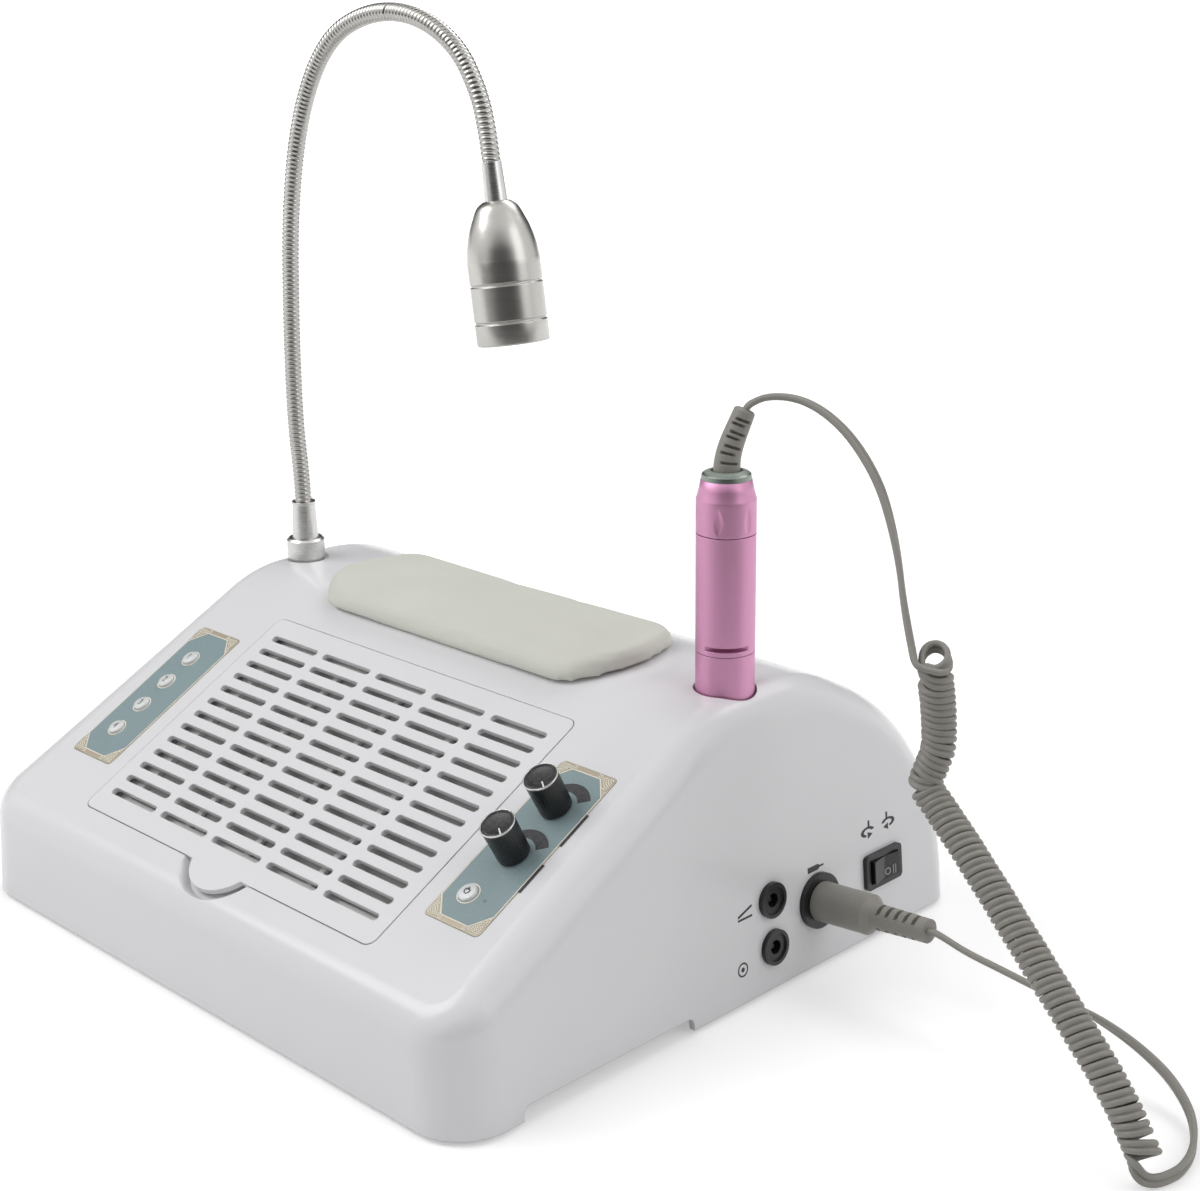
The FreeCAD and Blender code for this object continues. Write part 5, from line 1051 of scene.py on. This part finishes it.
# %% [markdown]
# ## Marks on the side wall
#
# Small signs tell the sockets apart: a pedal, a plug, a tool, and two turning arrows over the reversing
# switch, whose rocker carries O and II. They are printed in dark grey ink, a few hundredths of a millimetre
# thick, so they are thin flat pieces on the wall's own frame.

# %% Print the wall and the rocker
ink = plastic("ink", (44, 44, 46), (54, 54, 56), 0.5, edge=0.0001)
rocker_grey = plastic("rocker_grey", (160, 160, 162), (148, 148, 150), 0.4, edge=0.0001)
signs = []
for name, y, z, hand in (("reverse_sign", 88.9, 47.8, -1), ("forward_sign", 102.6, 48.0, 1)):
    oval = [(3.5 / 1.7 * x, v) for x, v in arc_band(0, 0, 1.2, 2.15, 90 + hand * 80, 90 - hand * 165, 20)]
    head = [(0, -0.2), (0, -3.2), (hand * -3.3, -1.5)]
    axle = bar(hand * -0.85, 1.2, hand * -0.85, 4.7, 1.2)
    signs += [(f"{name}_{k}", y, z, [loop]) for k, loop in enumerate((axle, oval, head), 1)]
signs += [("pedal_sign_base", 11.3, 38.9, [bar(-4.4, -2.2, 4.0, -2.2, 0.9)]),
          ("pedal_sign_plate", 11.3, 38.9, [bar(-4.2, -0.9, 4.0, 1.9, 1.0)]),
          ("supply_sign", 8.2, 16.2, [round_loop(0, 0, 3.0, 32), round_loop(0, 0, 2.3, 32)]),
          ("supply_sign_core", 8.2, 16.2, [round_loop(0, 0, 1.0)]),
          ("tool_sign", 54.4, 43.3, [[(-4.6, -1.2), (1.8, -1.2), (2.9, -0.45), (5.4, -0.4), (5.4, 0.4), (2.9, 0.45),
                                      (1.8, 1.2), (-4.6, 1.2)]])]
for name, y, z, loops in signs:
    flat_piece(name, loops, 0.05, on_wall(y, z), ink)
for name, y, z, loops in (("ring", 98.4, 28.0, [round_loop(0, 0, 1.6, 24), round_loop(0, 0, 1.1, 24)]),
                          ("bars", 102.0, 28.2, [bar(x, -2, x, 2, 0.45) for x in (-0.6, 0.6)])):
    flat_piece(f"rocker_{name}", loops, 0.06, laid_on("rocker", on_wall(y, z)), rocker_grey, "rocker")
print("signs printed")

# %% [markdown]
# ## The handpiece's rear cap
#
# The rear cap screws onto the barrel and has six shallow leaf-shaped dimples to grip it by. A turned shape is
# not enough, so its radius is also pressed in wherever a point falls inside a leaf. The mesh is fine enough
# around and along for the leaves to have soft edges.

# %% Press the dimples into the rear cap
leaves, leaf_middle, leaf_half, cap_radius = 6, 190.7, 5.0, 11.6


def leaf_depth(angle, z):
    """How far a leaf dimple presses in at an angle around the cap and a height, in millimetres."""
    along = (z - leaf_middle) / leaf_half
    if abs(along) >= 1:
        return 0.0
    half = 1.75 * (1 - along * along) ** 0.8 * (1 - 0.35 * along)
    deepest = 0.0
    for k in range(leaves):
        away = (angle - math.radians(-63 + 60 * k) + math.pi) % (2 * math.pi) - math.pi
        across = away * cap_radius / max(half, 0.05)
        if abs(across) < 1:
            deepest = max(deepest, 0.38 * (1 - across * across) * (1 - along * along) ** 0.5)
    return deepest


cap_profile = [(6.8, 184.5), (11.45, 184.5), (cap_radius, 184.65)] + \
              [(cap_radius, 184.8 + 0.4 * k, 1) for k in range(32)] + \
              [(cap_radius, 197.75), (11.52, 198.05), (11.25, 198.75), (10.5, 201.6), (9.78, 205.3), (9.6, 205.4),
               (6.8, 205.4)]
tool_axis = Matrix.Translation(mm(tool_x, axis_y, 0))
rear_cap = turned("dimpled_rear_cap", cap_profile, tool_axis, pink_anodised, "handpiece", "handpiece", 216,
                  press=leaf_depth)
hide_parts("handpiece_cap")
print("rear cap:", len(rear_cap.data.vertices), "points")

# %% [markdown]
# ## The lamp head
#
# The head is spun from sheet, so its dome is one smooth curve that runs into the straight side. The CAD model
# draws that curve with a few cones, and satin metal would show each of them as a band. Here a curve runs
# through the same places. Two fine grooves go round the side, and the rim is rolled.

# %% Spin the lamp head
def through(places, steps):
    """A smooth Catmull-Rom curve through places in a plane."""
    curve, last = [], len(places) - 1
    for k in range(last):
        a, b, c, e = (Vector(places[min(max(k + shift, 0), last)]) for shift in (-1, 0, 1, 2))
        for t in (step / steps for step in range(steps)):
            bend = (a * 2 - b * 5 + c * 4 - e) * (t * t / 2) + (b * 3 - a - c * 3 + e) * (t ** 3 / 2)
            curve.append(tuple(b + (c - a) * (t / 2) + bend))
    return curve + [tuple(places[-1])]


sleeve, head_radius, head_wall, head_length = 15.6, 15.0, 1.8, 57.5
dome = [(5.5, 0), (8.5, 2.4), (10.9, 7.2), (12.75, 11.9), (14.24, 17.8), (15, 24)]
groove_cuts = ((0, -0.9), (0, -0.62), (0.12, -0.55), (0.5, -0.4), (0.5, 0.4), (0.12, 0.55), (0, 0.62), (0, 0.9))
outside = [(4.7, 0)] + through(dome, 8) + [(head_radius, 26)]
for groove in (33, 48.2):
    outside += [(head_radius - cut, groove + step) for cut, step in groove_cuts]
outside += [(head_radius - cut, head_length - up) for cut, up in ((0, 0.6), (0.15, 0.15), (0.6, 0))]
inside = [(head_radius - head_wall, head_length), (head_radius - head_wall, 26), (11, 14), (4.7, head_wall)]
head_place = Matrix.Translation(mm(head_x, axis_y, head_z)) @ Matrix.Rotation(-head_tilt, 4, "Y")
head_profile = [(r, -sleeve - depth) for r, depth in reversed(outside + inside)]
lamp_shell = turned("spun_lamp_head", head_profile, head_place, lamp_silver, "lamp_head", "lamp_head", hollow=True)
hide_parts("lamp_head_shell")
print("lamp head:", len(outside), "rings outside")

# %% [markdown]
# ## The strain relief
#
# A soft grey moulding guides the cord out of the handpiece. It stands in a grommet, bends over with the cord,
# and is cut with slits on alternate sides so that it flexes evenly instead of kinking. Like the cord it
# follows a smooth NURBS line, and the slits are pressed into its radius one after another.

# %% Mould the strain relief
relief_line = even_line(nurbs_line("relief_line", [(relief_foot + Vector(p)) / 1000 for p in (
    (0, 0, 0), (0, 0, 4), (0.3, 0.6, 9), (1.1, 2.2, 14.5), (2.3, 4.6, 20.5), lean_way * relief_length)], 24), 0.16)
relief_total = length_of(relief_line) * 1000
slit_reaches = (6.3, 9.7, 12.3, 15.6, 17.7, 21.0, 23.0)
slit_half, slit_depth, tip_round = 0.55, 2.0, 1.3


def slit(angle, reach):
    """How deep the slits cut at an angle around the relief and a distance along it."""
    depth = 0.0
    for k, middle in enumerate(slit_reaches):
        gap = abs(reach - middle)
        if gap < slit_half:
            facing, half = ((-39, 43), (-55, 36))[k % 2]
            for turn in (facing, facing + 180):
                away = abs((math.degrees(angle) - turn + 180) % 360 - 180)
                edge = math.radians(half - away) * 4.8
                if edge > 0:
                    depth = max(depth, min(1, edge / 0.5) * min(1, (slit_half - gap) / 0.12) * slit_depth)
    return depth


def relief_radius(angle, reach):
    """A taper with a rounded tip, less the slits."""
    radius, inside_tip = 5.35 - 1.2 * reach / relief_total, tip_round - (relief_total - reach)
    if inside_tip > 0:
        radius -= tip_round - math.sqrt(max(0, tip_round ** 2 - inside_tip ** 2))
    return radius - slit(angle, reach)


rings, _ = swept(relief_line, (1, 0, 0), 96, relief_radius)
dark_hole = [relief_line[-1] + (p - relief_line[-1]) * 0.82 for p in rings[-1]]
deep_hole = [p - lean_way * 0.0018 for p in dark_hole]
rings += [dark_hole, deep_hole]
cord_relief = piece_from("slit_strain_relief", *tube_mesh(rings), cord_grey, "handpiece", "cord")
grommet_green = plastic("grommet_green", (150, 160, 150), (138, 148, 140), 0.4)
grommet_profile = [(5.9, 206.0), (9.1, 206.0), (9.15, 207.1), (8.7, 207.6), (7.4, 208.2), (6.6, 208.6), (6.2, 208.65),
                   (5.95, 208.4)]
turned("relief_grommet", grommet_profile, tool_axis, grommet_green, "handpiece", "cord", 72, hollow=True)
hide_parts("strain_relief")
print("strain relief:", round(relief_total, 1), "mm long,", len(cord_relief.data.vertices), "points")
